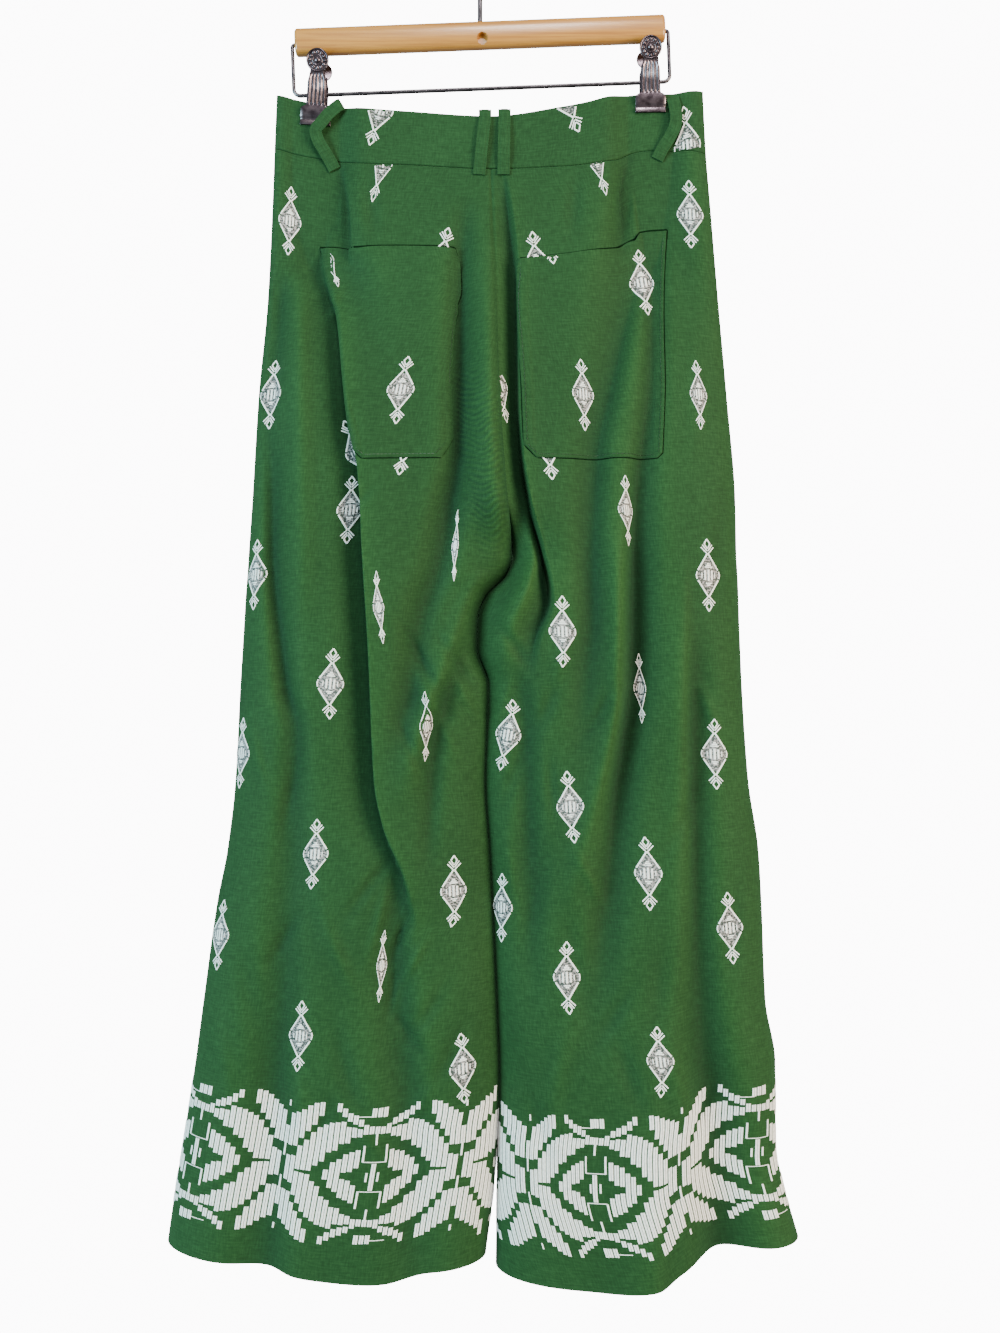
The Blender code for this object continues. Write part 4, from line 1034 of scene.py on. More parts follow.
def pocketStitches(side):
    # topstitching a little way in from the three sewn edges
    made, panel = pockets[side], panels[pockets[side]["on"]]
    corners, cuts = made["flat"], made["cuts"]
    down = [(corners[3] - corners[0]), (corners[2] - corners[1])]
    deep = [np.linalg.norm(way) for way in down]
    wayIn = (corners[2] - corners[3]) / np.linalg.norm(corners[2] - corners[3])
    inset = pocketLook["stitchIn"]
    route = [
        corners[0] + wayIn * inset,
        corners[3] + wayIn * inset - down[0] / deep[0] * max(cuts[0], inset),
        corners[3] + wayIn * max(cuts[0], inset) - down[0] / deep[0] * inset,
        corners[2] - wayIn * max(cuts[1], inset) - down[1] / deep[1] * inset,
        corners[2] - wayIn * inset - down[1] / deep[1] * max(cuts[1], inset),
        corners[1] - wayIn * inset,
    ]
    return dashes(panel, route, pocketLift(side))


def dashes(sheet, route, lift):
    strips = []
    step = pocketLook["stitch"] + pocketLook["skip"]
    for start, end in zip(route[:-1], route[1:]):
        length = np.linalg.norm(end - start)
        way = (end - start) / max(length, 1e-9)
        for k in range(int(length / step)):
            first = start + way * (k * step + pocketLook["skip"])
            ends = (*first, *(first + way * pocketLook["stitch"]))
            strips.append((sheet, ends, pocketLook["stitchWide"], lift, None))
    return strips


pocketSeams = [strip for side in pockets for strip in pocketStitches(side)]
satin("stitching_pockets", pocketSeams, greenThread, "green_cloth", 0.00035)


def pocketShadowStrips(side):
    # painted shadow: flat dark strips laid on the panel just outside a pocket's edges, wider above its
    # mouth
    sheet, panel = pockets[side]["sheet"], panels[pockets[side]["on"]]
    u, v, every = sheet["u"], sheet["v"], pocketLook["shadeEvery"]
    edge = [(u[0, j], v[0, j] - pocketLook["mouthShadeUp"]) for j in range(0, u.shape[1], every)]
    edge += [(u[i, -1], v[i, -1]) for i in range(every, len(u), every)]
    edge += [(u[-1, j], v[-1, j]) for j in range(u.shape[1] - every, -1, -every)]
    edge += [(u[i, 0], v[i, 0]) for i in range(len(u) - every, 0, -every)]
    edge = np.array(edge)
    edge = edge + unit(edge - edge.mean(axis=0)) * pocketLook["shadeOut"]
    strips = []
    for i, (start, end) in enumerate(zip(edge, np.roll(edge, -1, axis=0))):
        width = pocketLook["shade" if i > u.shape[1] / every else "mouthShade"]
        if np.linalg.norm(end - start) > 1e-5:
            strips.append((panel, (*start, *end), width, 0.0, None))
    return strips


pocketShades = [strip for side in pockets for strip in pocketShadowStrips(side)]
satin("shade_pockets", pocketShades, pocketShadowPaint, "green_cloth", 0.0002, flatStitch)
print("pockets made")


# The border above each hem: runs in millimetres above its middle line, one row for each pair
# of bars from the middle of a cross to the middle of a lozenge. Single bars are narrower.
borderRuns = (
    ((20, 36),),
    ((0, 11), (20, 48)),
    ((0, 12), (21, 51)),
    ((1.5, 22), (29, 54)),
    ((1.5, 28), (36, 58)),
    ((1.5, 35), (42, 61)),
    ((7, 39), (50, 62)),
    ((11, 42),),
    ((0, 4), (20, 45)),
    ((0, 11), (22, 46), (55, 62)),
    ((0, 14), (28, 47), (51, 58)),
    ((3, 19), (29, 43), (48, 55)),
    ((4, 21), (34, 43), (46, 53)),
    ((8, 23), (35, 42), (45, 50)),
    ((38, 46),),
    ((38, 44), (52, 60)),
    ((0, 12), (38, 44), (52, 60)),
)
borderSingles = ((0, 9, 21), (0, 53, 58), (14, 13, 28), (15, 0, 4), (16, 29, 38))
border = {
    "pitch": 0.00525,
    "repeat": 32,
    "bar": 0.395,            # of the pitch, and how far each of a pair stands from its middle
    "apart": 0.213,
    # painted shade: under is the width of the grey strip laid under each pair of bars, to show between them
    # as the shadow between their threads
    "under": 0.74,
    "float": 0.0007,
    "floats": ((14, 4, 13.0), (14, 4, -13.0), (12, 3, 52.0), (17, 3, -57.0)),   # pair, pairs long, height
    "uneven": 0.3,
    "barGapShadeIn": 0.0004,
    "frontStart": 0.110,     # the front's first cross, from the side seam
    "reach": 60,             # pairs past the last known ones
    "middle": {"back_left": 1.0950, "back_right": 1.1000, "front_left": 1.0950, "front_right": 1.0950},
    # pair, counted from the middle of a cross, and the x at which it shows
    "back_left": ((0, -0.1835), (16, -0.0980), (32, -0.0175)),
    "back_right": ((0, 0.0442), (16, 0.1058), (32, 0.1840), (48, 0.2576)),
}


def borderColumns(name):
    # each pair's number and its u
    sheet, middle, pitch = panels[name], border["middle"][name], border["pitch"]
    if name not in border:
        return [(n, border["frontStart"] + n * pitch) for n in range(-border["reach"], border["reach"])]
    z = float(np.interp(middle, sheet["v"][:, 0], asSeen(sheet["points"])[1].mean(axis=1)))
    known = sorted((clothAt(sheet, x, z)[0], number) for number, x in border[name])
    way = 1 if known[1][1] > known[0][1] else -1
    more = border["reach"]
    known.insert(0, (known[0][0] - more * pitch, known[0][1] - more * way))
    known.append((known[-1][0] + more * pitch, known[-1][1] + more * way))
    places = np.array(sorted(known, key=lambda place: place[1]))
    numbers = np.arange(math.ceil(places[0, 1]), math.floor(places[-1, 1]) + 1)
    return list(zip(numbers, np.interp(numbers, places[:, 1], places[:, 0])))


def longAt(sheet, u, v):
    # how much longer the cloth is there than its nominal height
    reach = 0.006
    near = onCloth(sheet, np.array([u, u]), np.array([v - reach, v + reach]))[0]
    return float(np.clip(np.linalg.norm(near[1] - near[0]) / (2 * reach), 0.8, 1.3))


def borderStrips(name):
    sheet, middle, repeat = panels[name], border["middle"][name], border["repeat"]
    bars, under, columns = [], [], borderColumns(name)
    places = dict(columns)
    for n, u in columns:
        pitch = abs(places.get(n + 1, places.get(n - 1)) - u)
        k = int(min(n % repeat, repeat - n % repeat))
        pairs = [(low, high, (-border["apart"], border["apart"])) for low, high in borderRuns[k]]
        pairs += [(low, high, (0,)) for number, low, high in borderSingles if number == k]
        if not 0 < u < sheet["ends"].max():
            continue
        long = longAt(sheet, u, middle)
        for low, high, across in pairs:
            ends = ((low, high), (-high, -low)) if low else ((-high, high),)
            for a, b in ends:
                a, b = (middle - 0.001 * (end + border["uneven"] * math.sin(n * 5.1 + end)) / long
                        for end in (b, a))
                for shift in across:
                    at = u + shift * pitch
                    bars.append((sheet, (at, a, at, b), border["bar"] * pitch, 0.0, None))
                # painted shade: a grey strip under the pair, showing between its two bars
                if len(across) == 2:
                    ends = (u, a + border["barGapShadeIn"], u, b - border["barGapShadeIn"])
                    under.append((sheet, ends, border["under"] * pitch, 0.0, None))
    for n, u in columns:  # thin floats inside each lozenge and beside its top
        for k, reach, height in border["floats"]:
            if n % repeat == k and n + reach in places and 0 < u < sheet["ends"].max():
                at = middle - 0.001 * height / longAt(sheet, u, middle)
                bars.append((sheet, (u, at, places[n + reach], at), border["float"], 0.0, None))
    return bars, under


# Lozenges scattered above it: strokes in millimetres from a lozenge's middle, x and y to
# x and y and their width. Each is repeated on both sides, and above and below.
lozengeStrokes = (
    (0.5, 19.6, 10.7, 4.6, 1.8),
    (12.4, 0.0, 11.6, 3.4, 1.4),
    (0.0, 33.2, 3.0, 28.8, 1.5),
    (3.0, 28.8, 0.2, 24.4, 1.3),
    (0.4, 22.2, 5.0, 27.8, 1.3),
    (0.2, 19.4, 6.6, 25.6, 1.3),
)
lozengeBars = (  # the same, but each drawn once
    (-3.6, -4.4, -3.6, 4.4, 2.3),
    (0.0, -5.2, 0.0, 5.2, 2.5),
    (3.6, -4.4, 3.6, 4.4, 2.3),
    (-6.9, -2.4, -6.9, 2.4, 1.2),
    (6.9, -2.4, 6.9, 2.4, 1.2),
    (-3.9, 7.4, 3.9, 7.4, 1.5),
    (-2.6, 9.0, 2.6, 9.0, 1.6),
    (-1.3, 10.6, 1.3, 10.6, 1.6),
    (-3.1, -7.5, 3.1, -7.5, 1.4),
    (-1.7, -9.1, 1.7, -9.1, 1.5),
)
lozenge = {
    "halfTall": 19.75, "halfWide": 12.6, "groundMost": 11.6, "groundRow": 2.2, "groundRows": 7,
    "rise": 0.00042, "groundRise": 0.00014, "unit": 0.000957, "uneven": 0.015, "tip": 0.0318,
}


def turnedRight(sheet):
    # 1 where u grows to the right, -1 where it grows to the left
    return -1 if sheet["level"][0, 0, 0] > sheet["level"][0, -1, 0] else 1


def lozengeAt(sheet, u, v, size, lean, narrow, lift, inside):
    # white strokes, and the darker ground under them
    long = longAt(sheet, u, v)
    turn = math.radians(lean) * turnedRight(sheet)
    right = narrow * math.cos(turn), -narrow * math.sin(turn) / long
    up = -math.sin(turn), -math.cos(turn) / long
    drawn = [(sx * x0, sy * y0, sx * x1, sy * y1, w) for x0, y0, x1, y1, w in lozengeStrokes
             for sx in (-1, 1) for sy in (-1, 1)]
    rows, row = [], lozenge["groundRow"]
    for k in range(-lozenge["groundRows"], lozenge["groundRows"] + 1):
        y = k * row
        half = min(lozenge["halfWide"] * (1 - abs(y) / lozenge["halfTall"]), lozenge["groundMost"])
        rows.append((-half, y, half, y, row))
    sets = []
    for strokes in (drawn + list(lozengeBars), rows):
        placed = []
        for x0, y0, x1, y1, w in strokes:
            ends = [at + size * (x * right[i] + y * up[i]) for x, y in ((x0, y0), (x1, y1))
                    for i, at in ((0, u), (1, v))]
            thin = narrow if abs(x1 - x0) < abs(y1 - y0) else 1
            placed.append((sheet, ends, w * size * max(thin, 0.5), lift, inside))
        sets.append(placed)
    return sets


# Lozenges on the back: x and z as they show, lean in degrees (the foot to the right where positive), how
# far below the lozenge's middle that place is where only its foot shows, or above for its head, and the
# share of its width where a fold takes up the rest
lozengeTip = lozenge["tip"]
lozengePlaces = {
    "back_left": (
        (-0.1748, -0.2526, -2, 0, 0.85), (-0.0985, -0.2271, -17, lozengeTip, 0.7),
        (-0.0294, -0.2627, -13, -lozengeTip), (-0.1918, -0.4127, -4.8, 0),
        (-0.0747, -0.4872, -12, lozengeTip), (-0.0230, -0.5507, -4, 0, 0.27), (-0.1196, -0.5185, -4, 0),
        (-0.2070, -0.5783, -3, 0), (-0.0929, -0.6087, 7, 0, 0.38), (-0.1371, -0.6777, -5, 0),
        (-0.0460, -0.7172, -5, 0, 0.6), (-0.2226, -0.7411, -3, 0), (-0.1523, -0.8368, -5.3, 0),
        (-0.1240, -0.4389, 26, -0.0288), (-0.0230, -0.8699, 2, 0), (-0.2420, -0.9077, -4, 0),
        (-0.0902, -0.9389, -3, 0, 0.4), (-0.1661, -1.0015, -3.5, 0), (-0.0156, -1.0309, 2, 0),
    ),
    "back_right": (
        (0.1923, -0.2448, 1.7, 0), (0.1144, -0.2217, 16, lozengeTip, 0.7),
        (0.0488, -0.2669, 8, -lozengeTip), (0.0132, -0.4050, 9.7, 0, 0.8), (0.2024, -0.4118, 3, 0, 0.68),
        (0.0672, -0.4904, 8, lozengeTip), (0.1380, -0.5185, 3, 0, 0.75), (0.2098, -0.5783, 2, 0),
        (0.0764, -0.6307, 2, 0), (0.1463, -0.6841, 3, 0, 0.5), (0.0248, -0.7270, -12, 0),
        (0.2162, -0.7421, 2, 0), (0.0828, -0.7917, 3.6, 0), (0.1541, -0.8525, 3, 0),
        (0.0184, -0.8847, 0, 0), (0.2309, -0.9049, 5, 0), (0.0800, -0.9509, 2, 0),
        (0.1665, -1.0263, 6, 0),
    ),
}
pocketLozenges = {
    "left": (
        (-0.0736, -0.4076, -9.7, 0), (-0.1390, -0.2890, 20, 0, 0.36),
    ),
    "right": (
        (0.1486, -0.3090, 7.7, 0), (0.0948, -0.4118, 2.5, 0, 0.8), (0.0681, -0.2931, 10, lozengeTip),
    ),
}
bandLozenges = (
    (-0.0911, -0.1482, -21.5, 0), (0.0904, -0.1629, 23, lozengeTip), (0.1863, -0.1556, 9, -lozengeTip),
)
frontLattice = {
    "across": 0.078, "down": 0.164, "columns": 5, "rows": (-1, 6), "foot": 1.005,
    "left": (0.046, 0.344), "right": (0.066, 0.330),
}


def frontPlaces(name):
    first, top = frontLattice[name.split("_")[1]]
    places = []
    for i in range(frontLattice["columns"]):
        for j in range(*frontLattice["rows"]):
            v = top + frontLattice["down"] * (j + 0.5 * (i % 2))
            if v < frontLattice["foot"]:
                places.append((first + i * frontLattice["across"], v, 2 * math.sin(3 * i + j), 1))
    return places


def placesOn(sheet, rows):
    # cloth coordinates of each lozenge's middle, and its lean against the cloth's own
    places, reach = [], 0.012
    for x, z, lean, below, *narrow in rows:
        u, v = clothAt(sheet, x, z)
        ends = onCloth(sheet, np.array([u, u]), np.array([v - reach, v + reach]))[0]
        own = math.degrees(math.atan2(ends[1, 0] - ends[0, 0], ends[0, 2] - ends[1, 2]))
        lean -= own * (abs(own) < 25)  # past that, the cloth is folded there and tells nothing
        turn = math.radians(lean)
        places.append((u - below * turnedRight(sheet) * math.sin(turn), v - below * math.cos(turn), lean,
                       narrow[0] if narrow else 1))
    return places


def embroider(name, places, sheet, lift=0.0, inside=None):
    strokes, ground = [], []
    for i, (u, v, lean, narrow) in enumerate(places):
        size = lozenge["unit"] * (1 + lozenge["uneven"] * math.sin(i * 2.3 + len(name)))
        white, dark = lozengeAt(sheet, u, v, size, lean, narrow, lift, inside)
        strokes += white
        ground += dark
    satin(f"lozenges_{name}", strokes, whiteThread, "pale_thread", lozenge["rise"])
    satin(f"grounds_{name}", ground, groundThread, "pale_thread", lozenge["groundRise"], flatStitch)


for name, sheet in panels.items():
    bars, under = borderStrips(name)
    satin(f"border_{name}", bars, whiteThread, "pale_thread", 0.00040)
    # the grey strips under the pairs are painted shade between the bars
    satin(f"padding_{name}", under, barGapShadeThread, "pale_thread", 0.00012, flatStitch)
    known = name in lozengePlaces
    embroider(name, placesOn(sheet, lozengePlaces[name]) if known else frontPlaces(name), sheet)
for side in ("left", "right"):
    panel = panels[f"back_{side}"]
    embroider(f"pocket_{side}", placesOn(panel, pocketLozenges[side]), panel, pocketLift(side),
              within(pockets[side]["flat"]))
embroider("band", placesOn(backBand, bandLozenges), backBand)
print("embroidery made")

# The front bands: the right one runs over the left one at the middle, on a raised tab
frontBand = bandSheet(1)
middleColumn = bandLook["columns"]


def partOf(sheet, columns, lift=None):
    part = {key: sheet[key][:, columns] for key in ("points", "normals", "u", "v")}
    if lift is not None:
        part["points"] = part["points"] + part["normals"] * lift[None, :, None]
    return levelMap(part)


columns = np.arange(middleColumn - bandLook["tabColumns"], frontBand["u"].shape[1])
lift = cloth["wall"] + bandLook["tabClear"]
lift = lift * (1 - ease(middleColumn, middleColumn + bandLook["tabFade"], columns))
frontTab = partOf(frontBand, columns, lift)
frontLeft = partOf(frontBand, np.arange(middleColumn + 1))
for side, band, face in (("left", frontLeft, 1), ("right", frontTab, 0)):
    piece = shell(f"band_front_{side}", band, cloth["wall"], greenLinen, face)
    keep(piece, "green_cloth", f"waistband_front_{side}")


# Belt loops: a strip of cloth along a line, with a stitched edge on both sides

loopLook = {
    "width": 0.0112, "wall": 0.0011, "rise": 0.0052, "tail": 0.0090, "foot": 0.0065, "behind": 0.0014,
    "columns": 17, "edge": 0.0004, "grooveAt": 0.34, "grooveReach": 0.05, "clear": 0.0003,
}


def smoothLine(points, step=0.0012):
    # a smooth curve through points, evenly spaced
    points = np.array(points, float)
    chord = runningSum(lengths(np.diff(points, axis=0)))
    fine = np.linspace(0, chord[-1], 400)
    table = {"at": chord, **{name: points[:, i] for i, name in enumerate("xyz")}}
    curve = np.stack([read(table, name, fine) for name in "xyz"], axis=-1)
    length = runningSum(lengths(np.diff(curve, axis=0)))
    even = np.linspace(0, length[-1], max(8, round(length[-1] / step)))
    return np.stack([np.interp(even, length, curve[:, i]) for i in range(3)], axis=-1), even


def ribbonSheet(line, facing):
    line, along = smoothLine(line)
    way = np.gradient(line, axis=0)
    across = unit(np.stack([way[:, 2], np.zeros(len(line)), -way[:, 0]], axis=-1))
    across *= np.where(across[:, :1] < 0, -1, 1)
    normal = unit(np.cross(way, across))
    if normal[len(line) // 3, 1] * facing < 0:
        normal = -normal
    share = np.linspace(-0.5, 0.5, loopLook["columns"])
    groove = bell(np.abs(share) - loopLook["grooveAt"], loopLook["grooveReach"])
    off = loopLook["clear"] - loopLook["edge"] * (groove + (2 * share) ** 8)
    points = line[:, None] + across[:, None] * (share * loopLook["width"])[None, :, None]
    points = points + normal[:, None] * off[None, :, None]
    normals = np.broadcast_to(normal[:, None], points.shape).copy()
    u = np.broadcast_to((share + 0.5) * loopLook["width"], points.shape[:2])
    return {"points": points, "normals": normals, "u": u, "v": np.broadcast_to(along[:, None], u.shape)}


loopGrids = {  # the bands, and the tops of the panels under them
    -1: [panels["back_left"]["points"][:30], panels["back_right"]["points"][:30], backBand["points"]],
    1: [panels["front_left"]["points"][:20], panels["front_right"]["points"][:20], frontBand["points"]],
}


def clothOut(face, x, z):
    # how far out the cloth lies under a loop's width, least and most
    near = []
    for grid in loopGrids[face]:
        close = (np.abs(grid[..., 0] - x) < loopLook["width"] / 2) & (np.abs(grid[..., 2] - z) < 0.004)
        near.append(face * grid[..., 1][close])
    near = np.concatenate(near)
    return near.min(), near.max()


loopUp = ((0.00, 0.0012), (0.10, 0.0014), (0.25, 0.0026), (0.50, 0.0030), (0.75, 0.0026), (0.97, 0.0020))


def uprightLoop(name, face, xLow, xHigh):
    top = float(read(waistLine, "top", xHigh))
    foot = float(read(waistLine, "seam", xLow)) - loopLook["foot"]
    line = []
    for share, off in loopUp:
        x, z = xLow + (xHigh - xLow) * share, foot + (top - foot) * share
        least, most = clothOut(face, x, z)
        line.append((x, face * (most + off), z))
    outside, inside = most + off, least - cloth["wall"] - loopLook["behind"]
    radius = (outside - inside) / 2
    for angle in range(0, 181, 30):
        turn = math.radians(angle)
        height = top + loopLook["rise"] - radius * (1 - math.sin(turn))
        line.append((x, face * (inside + radius * (1 + math.cos(turn))), height))
    line.append((x, face * inside, top - loopLook["tail"]))
    loopPiece(name, ribbonSheet(line, face))


loops = {}


def loopPiece(name, sheet):
    loops[name] = sheet
    piece = shell(f"cloth_{name}", sheet, loopLook["wall"], greenLinen, coarse=2)
    keep(piece, "green_cloth", name)


uprightLoop("loop_centre_left", -1, -0.0005, 0.0050)
uprightLoop("loop_centre_right", -1, 0.0216, 0.0225)
uprightLoop("loop_front_left", 1, -0.086, -0.086)
uprightLoop("loop_front_right", 1, 0.092, 0.092)
sideLoops = {  # x, z and how far each stands off the cloth, from its foot up
    "loop_side_left": (
        (-0.1333, -0.2066, 0.0012), (-0.1372, -0.1990, 0.0022), (-0.1415, -0.1916, 0.0036),
        (-0.1488, -0.1788, 0.0054), (-0.1502, -0.1724, 0.0060), (-0.1461, -0.1669, 0.0064),
        (-0.1378, -0.1568, 0.0058), (-0.1296, -0.1500, 0.0040), (-0.1262, -0.1478, 0.0018),
    ),
    "loop_side_right": (
        (0.1627, -0.1970, 0.0014), (0.1673, -0.1879, 0.0028), (0.1737, -0.1779, 0.0036),
        (0.1783, -0.1687, 0.0038), (0.1795, -0.1605, 0.0036), (0.1785, -0.1505, 0.0028),
        (0.1768, -0.1410, 0.0014),
    ),
}
for name, rows in sideLoops.items():
    loopPiece(name, ribbonSheet([(x, -clothOut(-1, x, z)[1] - off, z) for x, z, off in rows], -1))
print("bands and loops made")


# Hard pieces are modelled with Blender's tools and then baked: modifiers applied, at the origin

def bake(piece, material, cutters=(), smooth=40):
    bpy.context.view_layer.update()
    shape = piece.evaluated_get(bpy.context.evaluated_depsgraph_get())
    mesh = bpy.data.meshes.new_from_object(shape)
    mesh.transform(piece.matrix_world)
    mesh.materials.clear()
    mesh.materials.append(material)
    mesh.shade_smooth()
    mesh.set_sharp_from_angle(angle=math.radians(smooth))
    name = piece.name
    for used in (piece, *cutters):
        bpy.data.objects.remove(used)
    made = bpy.data.objects.new(name, mesh)
    bpy.context.scene.collection.objects.link(made)
    return made


def join(name, pieces):
    bpy.ops.object.select_all(action="DESELECT")
    for piece in pieces:
        piece.select_set(True)
    bpy.context.view_layer.objects.active = pieces[0]
    bpy.ops.object.join()
    joined = bpy.context.object
    joined.name = joined.data.name = name
    joined.select_set(False)
    return joined


def addModifier(piece, kind, **settings):
    modifier = piece.modifiers.new(kind.lower(), kind)
    for key, value in settings.items():
        setattr(modifier, key, value)
    return modifier


def cylinder(vertices, radius, depth, quarterTurns=(0, 0, 0), **place):
    turn = [math.radians(90) * turns for turns in quarterTurns]
    bpy.ops.mesh.primitive_cylinder_add(vertices=vertices, radius=radius, depth=depth, rotation=turn,
                                        **place)
    return bpy.context.object


def tube(name, points, radius, material, resolution=6):
    curve = bpy.data.curves.new(name, "CURVE")
    curve.dimensions = "3D"
    spline = curve.splines.new("POLY")
    spline.points.add(len(points) - 1)
    for place, point in zip(spline.points, points):
        place.co = (*point, 1)
    curve.bevel_depth, curve.bevel_resolution, curve.use_fill_caps = radius, resolution, True
    piece = bpy.data.objects.new(name, curve)
    bpy.context.scene.collection.objects.link(piece)
    return bake(piece, material)


hanger = {
    "tilt": math.radians(2.2),
    "length": 0.340, "tall": 0.024, "deep": 0.016, "height": -0.0824, "round": 0.0028, "oval": 2.6,
    "holeAt": (0.0020, -0.0056), "hole": 0.0050,
    "wire": 0.00175, "drop": 0.0487, "start": -0.0020, "clear": 0.0012, "corner": 0.006, "bend": 0.0024,
    "hook": 0.0022, "crook": 0.016, "crookFrom": -50, "crookTo": 220, "stemBend": 0.0065,
}


def onHanger(along, up, out=0.0):
    turn = hanger["tilt"]
    return (along * math.cos(turn) - up * math.sin(turn), out,
            hanger["height"] + along * math.sin(turn) + up * math.cos(turn))


woodLook = {
    "pale": (0.42, 0.180, 0.032, 1), "grain": (0.29, 0.108, 0.018, 1), "roughness": 0.36,
    "coat": 0.35, "coatRoughness": 0.18, "grainShare": 0.75,
    "grainStretch": (1.6, 60, 60), "poreStretch": (30, 900, 900),
}


def woodMaterial():
    material, tree, shader = newMaterial("lacqueredWood")
    place = addNode(tree, "ShaderNodeTexCoord").outputs["Object"]
    turned = addNode(tree, "ShaderNodeMapping", {
        "Vector": place, "Rotation": (0, hanger["tilt"], 0), "Scale": woodLook["grainStretch"],
    })
    fine = addNode(tree, "ShaderNodeMapping", {"Vector": place, "Scale": woodLook["poreStretch"]})
    grain = noiseOn(tree, turned.outputs[0], 6.0, 6.0, 0.62, 0.4)
    mixed = blend(tree, grain, noiseOn(tree, fine.outputs[0], 1.0), woodLook["grainShare"])
    fill(tree, shader, {
        "Base Color": colourRamp(tree, mixed, (0.36, woodLook["grain"]), (0.58, woodLook["pale"])),
        "Roughness": woodLook["roughness"],
        "Coat Weight": woodLook["coat"],
        "Coat Roughness": woodLook["coatRoughness"],
        "Normal": bumpOf(tree, mixed, 0.25, 0.0003),
    })
    return material


metalLook = {  # bright and tarnished colour, and roughness
    "nickelPlate": ((0.18, 0.138, 0.156, 1), (0.055, 0.040, 0.048, 1), 0.29),
    "greySteel": ((0.12, 0.105, 0.115, 1), (0.05, 0.045, 0.05, 1), 0.36),
}


def metalMaterial(name):
    # rougher where it is tarnished
    bright, tarnished, roughness = metalLook[name]
    material, tree, shader = newMaterial(name)
    noise = noiseOn(tree, addNode(tree, "ShaderNodeTexCoord").outputs["Object"], 160.0, 4.0)
    rough = addNode(tree, "ShaderNodeMapRange", {
        "Value": noise, "To Min": roughness + 0.08, "To Max": roughness - 0.06,
    })
    fill(tree, shader, {
        "Base Color": colourRamp(tree, noise, (0.35, tarnished), (0.62, bright)),
        "Metallic": 1.0,
        "Roughness": rough.outputs[0],
    })
    return material


buttonLook = {
    "dark": (0.016, 0.055, 0.020, 1), "light": (0.040, 0.120, 0.045, 1), "roughness": 0.28,
    "rim": 0.0016, "dish": 0.0007, "round": 0.0003, "hole": 0.0008, "holeOut": 0.0020,
    "thread": 0.00045, "threadOut": 0.0019, "threadIn": 0.0003, "threadDeep": 0.0012,
}


def buttonMaterial():
    material, tree, shader = newMaterial("greenHorn")
    noise = noiseOn(tree, addNode(tree, "ShaderNodeTexCoord").outputs["Object"], 240.0)
    fill(tree, shader, {
        "Base Color": colourRamp(tree, noise, (0.0, buttonLook["dark"]), (1.0, buttonLook["light"])),
        "Roughness": buttonLook["roughness"],
    })
    return material


wood = woodMaterial()
nickel = metalMaterial("nickelPlate")
wireSteel = metalMaterial("greySteel")
horn = buttonMaterial()


def makeBar():
    bar = cylinder(64, 0.5, hanger["length"], (0, 1, 0))
    bar.name = "bar"
    bpy.ops.object.transform_apply(location=False, rotation=True, scale=False)
    for vertex in bar.data.vertices:  # a squarer oval than an ellipse
        y, z = vertex.co.y * 2, vertex.co.z * 2
        grow = (abs(y) ** hanger["oval"] + abs(z) ** hanger["oval"]) ** (-1 / hanger["oval"])
        vertex.co.y, vertex.co.z = y * grow * hanger["deep"] / 2, z * grow * hanger["tall"] / 2
    addModifier(bar, "BEVEL", width=hanger["round"], segments=5, limit_method="ANGLE",
                angle_limit=math.radians(60))
    cutter = cylinder(40, hanger["hole"], 0.010, (1, 0, 0),
                      location=onHanger(*hanger["holeAt"], -hanger["deep"] / 2))
    addModifier(bar, "BOOLEAN", operation="DIFFERENCE", object=cutter, solver="EXACT")
    bar.rotation_euler = (0, -hanger["tilt"], 0)
    bar.location = (0, 0, hanger["height"])
    return bake(bar, wood, [cutter])


def corner(before, at, after, radius, steps=8):
    # an arc that rounds a corner between two straight runs
    before, at, after = Vector(before), Vector(at), Vector(after)
    first, last = (before - at).normalized(), (after - at).normalized()
    half = first.angle(last) / 2
    centre = at + (first + last).normalized() * radius / math.sin(half)
    start, end = at + first * radius / math.tan(half), at + last * radius / math.tan(half)
    ways = [(start - centre).lerp(end - centre, step / steps).normalized() for step in range(steps + 1)]
    return [tuple(centre + way * radius) for way in ways]


def makeWire():
    end = hanger["length"] / 2 + cloth["seam"]
    leg = hanger["length"] / 2 + hanger["wire"] + hanger["clear"]
    start, drop = hanger["start"], -hanger["drop"]
    stops = [(-end, 0, start), (-leg, 0, start), (-leg, 0, drop)]
    stops += [(-x, y, z) for x, y, z in stops[::-1]]
    bends = (hanger["bend"], hanger["corner"], hanger["corner"], hanger["bend"])
    points = [stops[0]]
    for i, radius in enumerate(bends):
        points += corner(*stops[i:i + 3], radius)
    points.append(stops[-1])
    return tube("wire", [onHanger(x, z, y) for x, y, z in points], hanger["wire"], wireSteel)


def makeHook():
    turnRadius = hanger["crook"] + hanger["hook"]
    join = math.radians(hanger["crookFrom"])
    joinX, joinZ = turnRadius * math.cos(join), -hanger["crook"] + turnRadius * math.sin(join)
    turnZ = joinZ + joinX / math.tan(join)
    stemTop = turnZ - hanger["stemBend"]
    points = [(0, 0, hanger["height"] + hanger["tall"] / 2 + cloth["seam"])]
    for t in np.linspace(0, 1, 12):
        points.append((t * t * joinX, 0, (1 - t) ** 2 * stemTop + 2 * t * (1 - t) * turnZ + t * t * joinZ))
    for degrees in range(hanger["crookFrom"] + 6, hanger["crookTo"] + 1, 6):
        turn = math.radians(degrees)
        points.append((turnRadius * math.cos(turn), 0, -hanger["crook"] + turnRadius * math.sin(turn)))
    return tube("hook", points, hanger["hook"], wireSteel)


